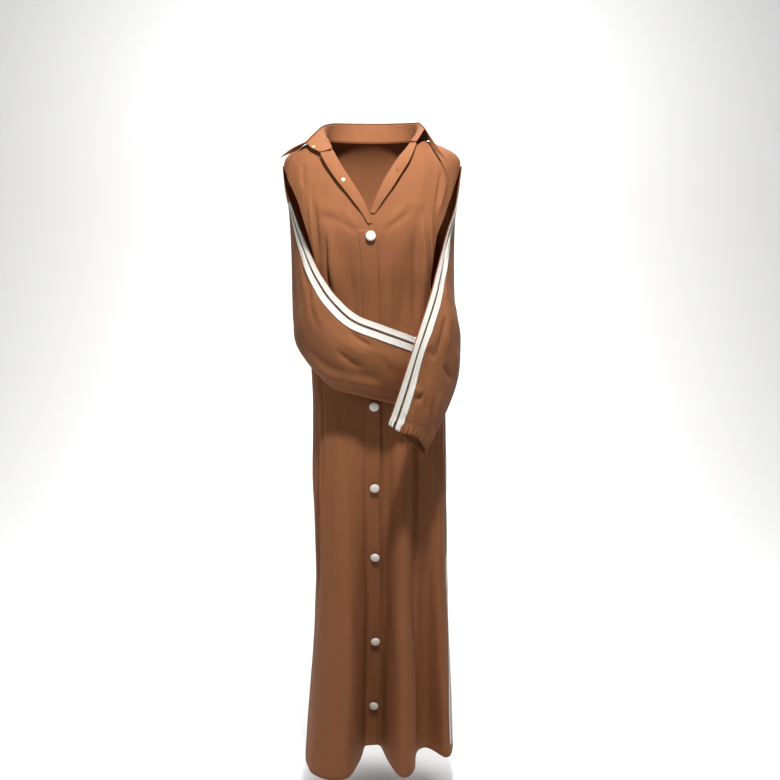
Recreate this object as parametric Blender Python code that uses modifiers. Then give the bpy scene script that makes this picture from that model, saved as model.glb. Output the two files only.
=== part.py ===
"""Open-collar abaya in tan crepe, hanging as worn: cut pieces, tapes, buttons and snaps.

Metres, +Z up, the front faces -Y. The origin is the high shoulder point at the neck, on the
garment's middle plane. "Right" and "left" are the wearer's, so the right side lies at -X.
Every cloth wall is a surface worked out by a function and given its thickness by Solidify.
"""

import math

import bpy
import numpy as np
from mathutils import Vector

# Driving sizes
LENGTH = 1.412  # high shoulder point to hem
CLOTH = 0.0016  # wall of the crepe
FACING = 0.0012  # wall of the placket and lapels
TAPE = 0.0010  # wall of the white tapes
SEAM_GAP = 0.0003
STAND_RISE = 0.0024  # collar foot over a lapel
STAND_SEAT = 0.0028  # collar foot off the neckline
LAID_GAP = 0.0008  # under a piece that lies on a curved panel
SHOULDER_DROP = 0.055  # neck point to shoulder end, measured down
UNDERARM_DROP = 0.420  # where the armhole ends and the side seam starts
SKIRT_START_DROP = 0.560  # below this the hem's flutes begin to form
ROUNDNESS = 0.88  # 1 gives elliptical rings, less gives fuller ones
SEAM_SWING = 17.0  # degrees by which the left side seam has come forward at the hem
SEAM_SWING_START = 0.80  # drop below which it comes forward
SEAM_BACK = 7.0  # degrees by which it lies behind the side at the hips
SEAM_BACK_START = 0.43
SEAM_BACK_RUN = 0.19
DRIFT = 2.0  # degrees by which the middle front turns to the right side
DRIFT_START = 0.25
DRIFT_RUN = 0.25
DRIFT_FADE = 0.80

# Front closure
OVERLAP = 0.012  # each front passes the middle by this much
UNDERLAP_DEPTH = 0.0030  # how far the left front lies under the right one
UNDERLAP_ANGLE = 18.0  # where the left front begins to sink
UNDERLAP_TURN = 12.0  # degrees over which it sinks
UNDERLAP_DROP = 0.128  # where the sinking begins, from the top
UNDERLAP_RUN = 0.030
PLACKET_WIDTH = 0.027

# Sleeve tapes, measured from the sleeve's front edge along the cloth
INNER_TAPE_WIDTH = 0.012
SNAP_STRIP_WIDTH = 0.0045
OUTER_TAPE_WIDTH = 0.014
TAPE_INSET = 0.0015
TAPE_TOP = 0.165  # share of the sleeve above the tapes
TAPE_SEARCH_ROWS = 120

HIDDEN_BULGE = 0.6  # the sleeve's hidden face stands off by this share of the outer face's bulge

# How far the placket and the roll line's turned-out strip lie above the front's middle
FACING_LIFT = (CLOTH + FACING) / 2 + LAID_GAP
PLACKET_COLUMNS = 4

# Side tapes
SIDE_TAPE_WIDTH = 0.024
SIDE_TAPE_TOP = 0.62
SIDE_TAPE_BOTTOM = 1.385

TAN = (0.40, 0.175, 0.082, 1.0)
TAN_DARK = (0.10, 0.04, 0.02, 1.0)
WHITE = (0.86, 0.84, 0.80, 1.0)
PEARL = (0.88, 0.86, 0.83, 1.0)
GOLD = (0.83, 0.62, 0.27, 1.0)

# Body rings. drop is measured down from the neck point.
#  drop, middle_x, half_width, front_depth, back_depth
RINGS = (
    (0.000, -0.008, 0.100, 0.046, 0.062),
    (0.007, -0.007, 0.132, 0.056, 0.070),
    (0.018, -0.006, 0.160, 0.068, 0.080),
    (0.030, -0.005, 0.182, 0.078, 0.088),
    (0.042, -0.005, 0.193, 0.086, 0.094),
    (0.055, -0.006, 0.197, 0.094, 0.099),
    (0.085, -0.008, 0.197, 0.108, 0.106),
    (0.130, -0.008, 0.193, 0.124, 0.111),
    (0.200, -0.007, 0.184, 0.141, 0.108),
    (0.270, -0.004, 0.174, 0.136, 0.101),
    (0.340, 0.000, 0.164, 0.126, 0.096),
    (0.450, 0.004, 0.155, 0.121, 0.100),
    (0.600, 0.008, 0.150, 0.124, 0.116),
    (0.825, 0.011, 0.146, 0.126, 0.122),
    (1.070, 0.018, 0.130, 0.124, 0.122),
    (1.412, 0.020, 0.130, 0.120, 0.120),
)

# Flutes of the hem, once round from the middle front: where each line of the cloth leaves
# the hips, as an angle, and where it reaches the hem.
#  hip_angle, hem_x, hem_y
FLUTES = (
    (-8, -0.026, -0.056),
    (-5, -0.019, -0.052),
    (0, -0.007, -0.050),
    (5, 0.005, -0.053),
    (7, 0.010, -0.060),
    (11, 0.026, -0.118),
    (17, 0.054, -0.186),
    (27, 0.090, -0.158),
    (34, 0.096, -0.090),
    (43, 0.116, -0.061),
    (60, 0.161, -0.106),
    (90, 0.186, -0.020),
    (112, 0.182, 0.075),
    (130, 0.146, 0.150),
    (143, 0.108, 0.120),
    (158, 0.066, 0.196),
    (172, 0.026, 0.138),
    (188, -0.024, 0.202),
    (203, -0.070, 0.134),
    (220, -0.116, 0.180),
    (240, -0.160, 0.110),
    (270, -0.164, 0.010),
    (291, -0.163, -0.102),
    (310, -0.138, -0.180),
    (328, -0.086, -0.204),
    (341, -0.050, -0.176),
    (347, -0.034, -0.112),
)

# Hanging folds above the skirt. A positive rise stands out, a negative one sinks in.
#  angle, spread, top_drop, bottom_drop, rise
FOLDS = (
    (-27, 5.0, 0.15, 0.44, 0.0060),
    (-15, 4.0, 0.20, 0.42, -0.0050),
    (-40, 5.0, 0.12, 0.36, -0.0040),
    (8, 4.0, 0.22, 0.56, 0.0040),
    (20, 6.0, 0.22, 0.50, -0.0050),
    (37, 5.0, 0.14, 0.44, 0.0060),
    (-53, 4.5, 0.50, 1.12, 0.0100),
    (-64, 4.5, 0.50, 1.15, -0.0110),
    (150, 7.0, 0.14, 0.60, 0.0060),
    (167, 7.0, 0.20, 0.70, -0.0060),
    (190, 7.0, 0.16, 0.62, 0.0060),
    (212, 7.0, 0.18, 0.66, -0.0060),
)

# Front neckline, where the fronts roll outwards: distance from the middle plane to each
# side. A negative distance is past the middle.
#  drop, right_side, left_side
NECKLINE = (
    (0.000, 0.094, 0.092),
    (0.020, 0.089, 0.079),
    (0.043, 0.077, 0.060),
    (0.075, 0.0555, 0.041),
    (0.105, 0.035, 0.025),
    (0.140, 0.014, 0.009),
    (0.165, 0.004, 0.001),
    (0.190, -0.004, -0.006),
    (0.215, -0.010, -0.011),
    (0.240, -0.012, -0.012),
    (0.300, -0.012, -0.012),
)

# Armhole edges: distance from the body's middle line.
#  drop, right_front, left_front, back
ARMHOLE = (
    (0.055, 0.1970, 0.1970, 0.1970),
    (0.085, 0.1840, 0.1900, 0.1880),
    (0.136, 0.1600, 0.1730, 0.1740),
    (0.173, 0.1480, 0.1590, 0.1690),
    (0.211, 0.1370, 0.1440, 0.1640),
    (0.270, 0.1250, 0.1310, 0.1580),
    (0.330, 0.1220, 0.1240, 0.1545),
    (0.375, 0.1370, 0.1370, 0.1560),
    (0.420, 0.1573, 0.1573, 0.1573),
)

# Sleeve sections from the shoulder to the cuff. edge is the taped front edge, fold the
# outermost or lowest line, back the hidden edge; where seam_drop is given, the hidden edge is
# sewn to the back's armhole at that drop instead. bulge is how far the outer face stands off
# the straight line from edge to fold, and peak where along it.
#  edge_x, edge_y, edge_z, fold_x, fold_y, fold_z, back_x, back_y, back_z, seam_drop, bulge, peak
RIGHT_SLEEVE = (
    (-0.2050, -0.010, -0.0590, -0.2048, 0.000, -0.0575, 0.0, 0.0, 0.0, 0.057, 0.001, 0.50),
    (-0.1965, -0.031, -0.110, -0.2005, 0.010, -0.110, 0.0, 0.0, 0.0, 0.120, 0.002, 0.45),
    (-0.1810, -0.040, -0.150, -0.1950, 0.026, -0.165, 0.0, 0.0, 0.0, 0.190, 0.002, 0.45),
    (-0.1585, -0.064, -0.207, -0.1925, 0.036, -0.250, 0.0, 0.0, 0.0, 0.290, 0.006, 0.35),
    (-0.1240, -0.111, -0.278, -0.1910, 0.020, -0.345, 0.0, 0.0, 0.0, 0.420, 0.018, 0.35),
    (-0.1040, -0.134, -0.309, -0.1860, -0.018, -0.400, -0.152, -0.086, -0.398, 0.0, 0.022, 0.37),
    (-0.0790, -0.156, -0.341, -0.1720, -0.060, -0.462, -0.104, -0.132, -0.362, 0.0, 0.028, 0.40),
    (-0.0360, -0.190, -0.377, -0.0980, -0.150, -0.532, -0.037, -0.178, -0.381, 0.0, 0.026, 0.50),
    (0.0180, -0.210, -0.397, -0.0240, -0.172, -0.553, 0.017, -0.194, -0.401, 0.0, 0.021, 0.50),
    (0.0640, -0.208, -0.414, 0.0320, -0.176, -0.566, 0.063, -0.192, -0.418, 0.0, 0.017, 0.50),
    (0.0930, -0.199, -0.426, 0.0640, -0.172, -0.574, 0.092, -0.183, -0.430, 0.0, 0.013, 0.50),
)
LEFT_SLEEVE = (
    (0.1935, -0.010, -0.0590, 0.1938, 0.000, -0.0575, 0.0, 0.0, 0.0, 0.057, 0.001, 0.50),
    (0.1845, -0.031, -0.110, 0.1878, 0.012, -0.110, 0.0, 0.0, 0.0, 0.120, 0.002, 0.45),
    (0.1780, -0.042, -0.150, 0.1820, 0.030, -0.170, 0.0, 0.0, 0.0, 0.190, 0.001, 0.45),
    (0.1580, -0.066, -0.208, 0.1810, 0.044, -0.250, 0.0, 0.0, 0.0, 0.290, 0.003, 0.35),
    (0.1340, -0.110, -0.290, 0.1840, 0.036, -0.360, 0.0, 0.0, 0.0, 0.420, 0.016, 0.35),
    (0.1220, -0.146, -0.331, 0.1900, 0.012, -0.408, 0.156, -0.086, -0.402, 0.0, 0.024, 0.38),
    (0.1060, -0.186, -0.376, 0.1930, -0.010, -0.455, 0.124, -0.150, -0.392, 0.0, 0.034, 0.42),
    (0.0790, -0.240, -0.450, 0.1850, -0.070, -0.528, 0.084, -0.231, -0.454, 0.0, 0.024, 0.50),
    (0.0560, -0.256, -0.520, 0.1500, -0.158, -0.600, 0.060, -0.242, -0.524, 0.0, 0.021, 0.50),
    (0.0300, -0.258, -0.599, 0.1070, -0.205, -0.672, 0.034, -0.241, -0.603, 0.0, 0.018, 0.50),
)

# Lapels: how far each turned-out strip reaches from the roll line and how high its free
# edge hangs over the front.
#  drop, width, free_edge_height
RIGHT_LAPEL = (
    (0.034, 0.0370, 0.0120),
    (0.075, 0.0330, 0.0110),
    (0.105, 0.0280, 0.0090),
    (0.140, 0.0195, 0.0070),
    (0.165, 0.0110, 0.0050),
    (0.188, 0.0050, 0.0030),
)
LEFT_LAPEL = (
    (0.016, 0.0200, 0.0100),
    (0.043, 0.0300, 0.0115),
    (0.075, 0.0290, 0.0100),
    (0.105, 0.0250, 0.0085),
    (0.140, 0.0150, 0.0060),
    (0.166, 0.0060, 0.0035),
)

# Collar, once round from the right front end to the left one. The foot is sewn to the
# lapel's top edge (at a share of its width), then to the front's neckline (at a drop), then
# to the back's neckline (at an angle from the middle back).
# arch lifts the middle of the leaf off the straight line from head to edge.
#  side, lapel_share, drop, angle, head_x, head_y, head_z, leaf_x, leaf_y, leaf_z, arch
COLLAR = (
    (-1, 1.0, 0.034, 0, -0.1505, -0.059, -0.018, -0.2060, -0.060, -0.047, 0.006),
    (-1, 0.5, 0.034, 0, -0.1410, -0.042, -0.003, -0.1720, -0.045, -0.0310, 0.001),
    (-1, 0.0, 0.026, 0, -0.1290, -0.026, 0.012, -0.1570, -0.022, -0.0155, 0.002),
    (-1, 0.0, 0.010, 0, -0.1220, -0.016, 0.020, -0.1490, 0.004, -0.0095, 0.003),
    (-1, 0.0, 0.000, 0, -0.1140, -0.004, 0.028, -0.1420, 0.026, -0.0040, 0.005),
    (0, 0.0, 0.000, 62, -0.0940, 0.036, 0.038, -0.1190, 0.063, -0.006, 0.008),
    (0, 0.0, 0.000, 28, -0.0560, 0.068, 0.042, -0.0690, 0.094, -0.013, 0.009),
    (0, 0.0, 0.000, 0, -0.0080, 0.078, 0.043, -0.0080, 0.104, -0.015, 0.009),
    (0, 0.0, 0.000, -28, 0.0400, 0.068, 0.042, 0.0510, 0.094, -0.013, 0.009),
    (0, 0.0, 0.000, -62, 0.0820, 0.036, 0.039, 0.1020, 0.063, -0.005, 0.008),
    (1, 0.0, 0.000, 0, 0.0980, -0.006, 0.034, 0.1180, 0.014, -0.0030, 0.005),
    (1, 0.0, 0.010, 0, 0.1050, -0.028, 0.025, 0.1225, -0.032, -0.0085, 0.002),
    (1, 0.5, 0.016, 0, 0.1085, -0.041, 0.020, 0.1260, -0.062, -0.0260, 0.003),
    (1, 1.0, 0.016, 0, 0.1095, -0.052, 0.0165, 0.1590, -0.098, -0.059, -0.002),
)

# Front buttons: drop below the neck point and how far each nods forward, in degrees.
#  drop, nod, sway
BUTTONS = (
    (0.214, 4, 0),
    (0.408, 0, 0),
    (0.582, 11, -4),
    (0.767, 12, 5),
    (0.932, 13, -5),
    (1.139, 10, 4),
    (1.304, 8, -3),
)

# Outlines of the turned pieces, from the top down the outer side.
#  radius, height
SHANK_RADIUS = 0.0022
BUTTON_PROFILE = (
    (0.0000, 0.0076),
    (0.0052, 0.0073),
    (0.0092, 0.0062),
    (0.0106, 0.0048),
    (0.0092, 0.0034),
    (SHANK_RADIUS, 0.0028),
    (SHANK_RADIUS, 0.0000),
    (0.0000, 0.0000),
)
SNAP_PROFILE = (
    (0.0000, 0.0015),
    (0.0022, 0.0014),
    (0.0036, 0.0008),
    (0.0036, 0.0000),
    (0.0000, 0.0000),
)

STAND_SNAP = (0.8, 2.2)  # row from the front end and column from the foot of the stand

BUTTON_SEGMENTS = 16
SNAP_SEGMENTS = 12
SLEEVE_ROWS = 23
# How far the left cuff's front edge is drawn back, and where round the sleeve, as shares
CUFF_DRAW = 0.016
CUFF_START = 0.16
CUFF_SPREAD = 0.34
SLEEVE_COLUMNS = 15

# Snaps on the lapels: drop and share of the lapel's width.
#  name, is_right, drop, share, is_covered
LAPEL_SNAPS = (
    ("snap_lapel_right", True, 0.095, 0.55, False),
    ("snap_cover_left", False, 0.072, 0.55, True),
)


def through(knots, values, at):
    """Smooth curve through the values at the knots: cubic Hermite with weighted slopes."""
    knots = np.asarray(knots, float)
    values = np.asarray(values, float)
    at = np.clip(np.asarray(at, float), knots[0], knots[-1])
    gaps = np.diff(knots)
    rates = (np.diff(values, axis=0).T / gaps).T
    slopes = np.empty_like(values)
    slopes[0], slopes[-1] = rates[0], rates[-1]
    share = (gaps[:-1] / (gaps[:-1] + gaps[1:])).reshape((-1,) + (1,) * (values.ndim - 1))
    slopes[1:-1] = rates[:-1] * (1 - share) + rates[1:] * share
    cell = np.clip(np.searchsorted(knots, at, side="right") - 1, 0, len(gaps) - 1)
    spread = cell.shape + (1,) * (values.ndim - 1)
    t = ((at - knots[cell]) / gaps[cell]).reshape(spread)
    gap = gaps[cell].reshape(spread)
    keep = 2 * t**3 - 3 * t**2 + 1
    return (
        keep * values[cell]
        + (t**3 - 2 * t**2 + t) * gap * slopes[cell]
        + (1 - keep) * values[cell + 1]
        + (t**3 - t**2) * gap * slopes[cell + 1]
    )


def column(table, *names_at):
    """The named columns of a table as an array."""
    return np.array([[row[i] for i in names_at] for row in table], float)


def smooth_step(t):
    t = np.clip(t, 0, 1)
    return t * t * (3 - 2 * t)


def signed_power(value, power):
    return np.sign(value) * np.abs(value) ** power


def ring_at(drop):
    """middle_x, half_width, front_depth and back_depth of the body at this drop."""
    found = through(column(RINGS, 0)[:, 0], column(RINGS, 1, 2, 3, 4), drop)
    return np.moveaxis(found, -1, 0)


def hem_at(angle):
    """Where the cloth line that leaves the hips at this angle reaches the hem, x and y."""
    rows = column(FLUTES, 0, 1, 2)
    turn = np.array([360.0, 0.0, 0.0])
    rows = np.vstack([rows[-3:] - turn, rows, rows[:3] + turn])
    first = FLUTES[0][0]
    angle = (np.asarray(angle, float) - first) % 360 + first
    return through(rows[:, 0], rows[:, 1:], angle)


def fold_rise(angle, drop):
    """How far the hanging folds move the cloth outwards."""
    total = np.zeros(np.broadcast(angle, drop).shape)
    for at, spread, top, bottom, rise in FOLDS:
        turn = (angle - at + 180) % 360 - 180
        along = np.clip((drop - top) / (bottom - top), 0, 1)
        total += rise * np.exp(-((turn / spread) ** 2)) * np.sin(np.pi * along) ** 2
    return total


def front_drift(angle, drop):
    """Degrees by which the cloth in front is turned towards the right side, most between the
    waist and the knees and not at all behind."""
    starts = smooth_step((drop - DRIFT_START) / DRIFT_RUN)
    ends = smooth_step((drop - DRIFT_FADE) / (LENGTH - DRIFT_FADE))
    return DRIFT * starts * (1 - ends) * (0.5 + 0.5 * np.cos(np.radians(angle)))


def body(angle, drop):
    """A point of the body's middle surface: angle in degrees from the middle front, towards
    +X, and drop below the neck point. Rings above, blending into the hem's flutes below."""
    angle, drop = np.broadcast_arrays(np.asarray(angle, float), np.asarray(drop, float))
    middle, half_width, front_depth, back_depth = ring_at(drop)
    angle = angle - front_drift(angle, drop)
    turn = np.radians(angle)
    across = signed_power(np.sin(turn), ROUNDNESS)
    forward = signed_power(np.cos(turn), ROUNDNESS)
    depth = np.where(forward > 0, front_depth, back_depth)
    rise = fold_rise(angle, drop)
    x = middle + (half_width + rise) * across
    y = -(depth + rise) * forward
    hem = hem_at(angle)
    fall = np.clip((drop - SKIRT_START_DROP) / (LENGTH - SKIRT_START_DROP), 0, 1) ** 1.15
    return np.stack([x + (hem[..., 0] - x) * fall, y + (hem[..., 1] - y) * fall, -drop], axis=-1)


def angle_at(distance, drop):
    """The ring angle whose point lies this far from the body's middle line."""
    share = np.clip(np.asarray(distance) / ring_at(drop)[1], -1, 1)
    return np.degrees(np.arcsin(signed_power(share, 1 / ROUNDNESS)))


def neckline_angle(drop, is_right):
    """Front edge of a front, as an angle towards its own side."""
    distance = through(column(NECKLINE, 0)[:, 0], column(NECKLINE, 1 if is_right else 2)[:, 0], drop)
    return angle_at(distance, drop)


def seam_swing(drop, side):
    """Degrees by which the left side seam lies forward of the side: it starts a little behind
    it at the hips and comes forward towards the hem."""
    back = smooth_step((drop - SEAM_BACK_START) / SEAM_BACK_RUN)
    fall = smooth_step((drop - SEAM_SWING_START) / (LENGTH - SEAM_SWING_START))
    return ((SEAM_SWING + SEAM_BACK) * fall - SEAM_BACK * back) * (side > 0)


def side_angle(drop, piece):
    """Outer edge of a front or of half the back, as an angle from the middle front or back:
    the shoulder seam, then the armhole, then the side. piece is a column of ARMHOLE."""
    distance = through(column(ARMHOLE, 0)[:, 0], column(ARMHOLE, piece)[:, 0], drop)
    in_armhole = (drop > SHOULDER_DROP) & (drop < UNDERARM_DROP)
    return np.where(in_armhole, angle_at(distance, drop), 90.0)


def panel_drops():
    """Rows of a body panel, closer together over the shoulder and the armhole."""
    return np.concatenate([
        np.array([0.0, 0.006, 0.014, 0.024, 0.038]),
        np.linspace(SHOULDER_DROP, UNDERARM_DROP, 13),
        np.linspace(0.46, LENGTH, 17),
    ])


def hem_shares(start, end, count):
    """Shares of the way from one hip angle to another that space the lines evenly at the
    hem and at the hips alike."""
    angle = np.linspace(start, end, 400)
    step = np.linalg.norm(np.diff(hem_at(angle), axis=0), axis=1)
    along = np.concatenate([[0], np.cumsum(step)])
    even = np.interp(np.linspace(0, along[-1], count), along, np.linspace(0, 1, 400))
    return 0.72 * even + 0.28 * np.linspace(0, 1, count)


def outward(grid):
    """Unit normals of a grid of points, pointing away from the grid's own right-hand turn."""
    down = np.gradient(grid, axis=0)
    across = np.gradient(grid, axis=1)
    normal = np.cross(across, down)
    return normal / np.maximum(np.linalg.norm(normal, axis=-1, keepdims=True), 1e-12)


def body_normal(angle, drop):
    """Unit outward normal of the body's surface."""
    step = 0.05
    across = body(angle + step, drop) - body(angle - step, drop)
    down = body(angle, drop + 0.0005) - body(angle, drop - 0.0005)
    normal = np.cross(across, -down)
    return normal / np.linalg.norm(normal, axis=-1, keepdims=True)


def front_point(angle, drop, is_right, lift=0.0):
    """A point of a front. angle runs towards the front's own side. The left front sinks
    under the right one near the middle."""
    sign = -1.0 if is_right else 1.0
    point = body(sign * angle, drop)
    if not is_right:
        hidden = smooth_step((UNDERLAP_ANGLE - angle) / UNDERLAP_TURN)
        hidden = hidden * smooth_step((drop - UNDERLAP_DROP) / UNDERLAP_RUN)
        lift = lift - UNDERLAP_DEPTH * hidden
    if np.any(lift):
        point = point + body_normal(sign * angle, drop) * np.asarray(lift)[..., None]
    return point


def placket_angles(drops, is_right, columns):
    """Angles across the strip next to a front's edge that carries the buttons."""
    start = neckline_angle(drops, is_right)
    width = np.degrees(PLACKET_WIDTH / ring_at(drops)[1])
    return start + width * np.linspace(0, 1, columns)


def front_grid(is_right):
    """Rows from the neck to the hem, columns from the front edge to the side."""
    drops = panel_drops()[:, None]
    sign = -1.0 if is_right else 1.0
    strip = placket_angles(drops, is_right, PLACKET_COLUMNS)
    gap = np.degrees(SEAM_GAP / 2 / ring_at(drops)[1])
    end = side_angle(drops, 1 if is_right else 2) - gap - seam_swing(drops, sign)
    shares = hem_shares(6 * sign, 90 * sign, 13)[None, 1:]
    rest = strip[:, -1:] + (end - strip[:, -1:]) * shares
    return front_point(np.hstack([strip, rest]), drops, is_right)


def back_grid():
    """Rows from the neck to the hem, columns from the left side round to the right."""
    drops = panel_drops()[:, None]
    shares = hem_shares(90, 270, 24)[None, :]
    gap = np.degrees(SEAM_GAP / 2 / ring_at(drops)[1])
    reach = side_angle(drops, 3) - gap
    start = 180 - reach - seam_swing(drops, 1)
    return body(start + (180 + reach - start) * shares, drops)


def armhole_edge(drop, side, lift=0.0):
    """A point on the back's armhole edge. side is -1 at the right, 1 at the left."""
    drop = np.asarray(drop, float)
    angle = side * (180 - side_angle(np.minimum(drop, UNDERARM_DROP - 1e-6), 3))
    return body(angle, drop) + body_normal(angle, drop) * lift


def sleeve_knots(table, rows, side):
    """Edge, face, fold, behind and back of the sleeve at each row from shoulder to cuff."""
    table = np.array(table)
    sewn = table[:, 9] > 0
    table[sewn, 6:9] = armhole_edge(table[sewn, 9], side, CLOTH + SEAM_GAP)
    stations = np.linspace(0, len(table) - 1, rows)
    knots = np.arange(len(table))
    row = through(knots, table, stations)
    last_sewn = np.flatnonzero(sewn)[-1]
    on_seam = stations <= last_sewn
    seam = through(knots[sewn], table[sewn, 9], stations[on_seam])
    row[on_seam, 6:9] = armhole_edge(seam, side, CLOTH + SEAM_GAP)
    edge, fold, back = row[:, 0:3], row[:, 3:6], row[:, 6:9]
    bulge, peak = row[:, 10:11], row[:, 11:12]
    run = np.gradient((edge + fold) / 2, axis=0)
    off = np.cross(fold - edge, run) * -side
    off /= np.linalg.norm(off, axis=1, keepdims=True)
    face = edge + (fold - edge) * peak + off * bulge
    hollow = smooth_step((stations - last_sewn) / 2.5)[:, None] * HIDDEN_BULGE
    behind = (fold + back) / 2 - off * bulge * hollow
    return np.stack([edge, face, fold, behind, back], axis=0)


def sleeve_grid(table, rows, columns, side):
    """Smooth loft through the sleeve's sections. The left one's front layer ends drawn back
    between the tapes and the fold, so that its cuff opens."""
    shares = np.array([0.0, 0.28, 0.52, 0.76, 1.0])
    ring = sleeve_knots(table, rows, side)
    around = np.linspace(0, 1, columns) ** 1.3
    grid = np.moveaxis(through(shares, ring, around), 0, 1)
    along = np.linspace(0, 1, rows)[:, None]
    hump = np.sin(np.pi * np.clip((around - CUFF_START) / CUFF_SPREAD, 0, 1))
    drawn = along - (side > 0) * CUFF_DRAW * hump * smooth_step((along - 0.85) / 0.15)
    place = drawn * (rows - 1)
    lower = np.minimum(place.astype(int), rows - 2)
    share = (place - lower)[..., None]
    column = np.arange(columns)
    return grid[lower, column] * (1 - share) + grid[lower + 1, column] * share


def tape_grid(table, side, start, end, lift, rows=26):
    """A tape on a sleeve: the sleeve's own points at two distances from its front edge,
    moved out by the lift."""
    fine = sleeve_grid(table, TAPE_SEARCH_ROWS, 121, side)
    normal = outward(fine) * -side
    step = np.linalg.norm(np.diff(fine, axis=1), axis=2)
    along = np.concatenate([np.zeros((len(fine), 1)), np.cumsum(step, axis=1)], axis=1)
    chosen = np.round(np.linspace(TAPE_TOP, 1, rows) * (len(fine) - 1)).astype(int)
    found = []
    for i in chosen:
        at = np.linspace(start, end, 2)
        at = at * min(1.0, 0.45 * along[i, -1] / OUTER_TAPE_END)
        point = [np.interp(at, along[i], fine[i, :, k]) for k in range(3)]
        turned = [np.interp(at, along[i], normal[i, :, k]) for k in range(3)]
        found.append(np.stack(point, axis=-1) + np.stack(turned, axis=-1) * lift)
    return np.array(found)


def lapel_point(is_right, drop, share):
    """A point of a turned-out lapel: share 0 on the roll line, 1 on the free edge."""
    table = np.array(RIGHT_LAPEL if is_right else LEFT_LAPEL)
    drop, share = np.broadcast_arrays(np.asarray(drop, float), np.asarray(share, float))
    width = through(table[:, 0], table[:, 1], drop)
    height = through(table[:, 0], table[:, 2], drop)
    drop = drop + 0.25 * width * share
    start = neckline_angle(drop, is_right)
    turn = np.degrees(width / ring_at(drop)[1])
    lift = FACING_LIFT + (height - FACING_LIFT) * np.sin(share * np.pi / 2)
    return front_point(start + turn * share, drop, is_right, lift)


def lapel_grid(is_right):
    """The strip of facing turned out over a front, from the roll line to its free edge."""
    table = RIGHT_LAPEL if is_right else LEFT_LAPEL
    drops = np.linspace(table[0][0], table[-1][0], 18)[:, None]
    return lapel_point(is_right, drops, np.linspace(0, 1, 6)[None, :])


def placket_drops():
    """Rows of the placket: the panel's own, from just above the top button to the hem."""
    drops = panel_drops()
    drops = np.concatenate([[BUTTONS[0][0] - 0.013], drops[drops > BUTTONS[0][0]]])
    drops[-1] -= 0.001
    return drops


def placket_grid():
    """The stitched strip down the right front's edge: the front's own points moved out."""
    drops = placket_drops()[:, None]
    angles = placket_angles(drops, True, PLACKET_COLUMNS)
    return front_point(angles, drops, True, np.full(angles.shape, FACING_LIFT))


def on_grid(grid, row, column):
    """Point and unit normal of a sheet at a fractional row and column."""
    i, j = min(int(row), len(grid) - 2), min(int(column), grid.shape[1] - 2)
    a, b = row - i, column - j
    corner = grid[i : i + 2, j : j + 2]
    near = corner[0] * (1 - a) + corner[1] * a
    across = near[1] - near[0]
    down = (corner[1] - corner[0]).mean(axis=0)
    normal = np.cross(down, across)
    return near[0] * (1 - b) + near[1] * b, normal / np.linalg.norm(normal)


def on_middle(drop):
    """Point and outward normal of the placket on the garment's middle line."""
    drops, grid = placket_drops(), placket_grid()
    row = np.interp(drop, drops, np.arange(len(drops)))
    angles = placket_angles(drop, True, PLACKET_COLUMNS)
    column = np.interp(0.0, angles, np.arange(PLACKET_COLUMNS))
    point, normal = on_grid(grid, row, column)
    return point, normal * (1 if normal[1] < 0 else -1)


def side_tape_grid(side):
    """The tape down a side seam, half of it on the front and half on the back."""
    drop = np.linspace(SIDE_TAPE_TOP, SIDE_TAPE_BOTTOM, 20)[:, None]
    distance = SIDE_TAPE_WIDTH * np.linspace(-0.5, 0.5, 4)[None, :]
    middle = 90 - seam_swing(drop, side)
    angle = side * (middle + np.degrees(distance / ring_at(drop)[1]))
    return body(angle, drop) + body_normal(angle, drop) * ((CLOTH + TAPE) / 2 + LAID_GAP)


def collar_knots():
    """Foot, head, leaf edge and leaf arch of the collar at each row of its table."""
    feet = []
    for side, share, drop, angle, *_ in COLLAR:
        if share:
            foot = lapel_point(side < 0, drop, share)
            feet.append(foot + np.array([0.0, 0.0, STAND_RISE]))
        else:
            turn = side * neckline_angle(drop, side < 0) if side else 180.0 + angle
            normal = body_normal(turn, max(drop, 0.001))
            feet.append(body(turn, drop) + normal * STAND_SEAT)
    table = np.array(COLLAR)
    return np.array(feet), table[:, 4:7], table[:, 7:10], table[:, 10]


def collar_rows(values, columns, trim):
    """Values along the collar, with each end pulled in by the trim, a share of a row."""
    knots = np.arange(len(values))
    t = np.linspace(0, 1, columns)
    return through(knots, values, trim + (knots[-1] - 2 * trim) * t)


def stand_grid(columns=39, across=5):
    """The stand, from foot to head, its front ends rounded off at the head."""
    feet, heads, _, _ = collar_knots()
    found = []
    for share in np.linspace(0, 1, across):
        line = feet + (heads - feet) * share
        found.append(collar_rows(line, columns, 0.30 * smooth_step((share - 0.55) / 0.45)))
    return np.moveaxis(np.array(found), 0, 1)


def leaf_grid(columns=39, across=7):
    """The leaf, from the fold at the stand's head out to its pointed edge."""
    _, heads, leaves, arch = collar_knots()
    found = []
    for share in np.linspace(0, 1, across):
        line = heads + (leaves - heads) * share
        line[:, 2] += CLOTH + 3 * SEAM_GAP + arch * np.sin(np.pi * share)
        found.append(collar_rows(line, columns, 0.30 * (1 - share)))
    return np.moveaxis(np.array(found), 0, 1)


def turned_mesh(name, profile, material):
    """The outline of a turned piece, from its top down the outer side, at +X."""
    mesh = bpy.data.meshes.new(name)
    points = [(radius, 0.0, height) for radius, height in profile]
    mesh.from_pydata(points, [(i, i + 1) for i in range(len(points) - 1)], [])
    mesh.materials.append(material)
    return mesh


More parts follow.
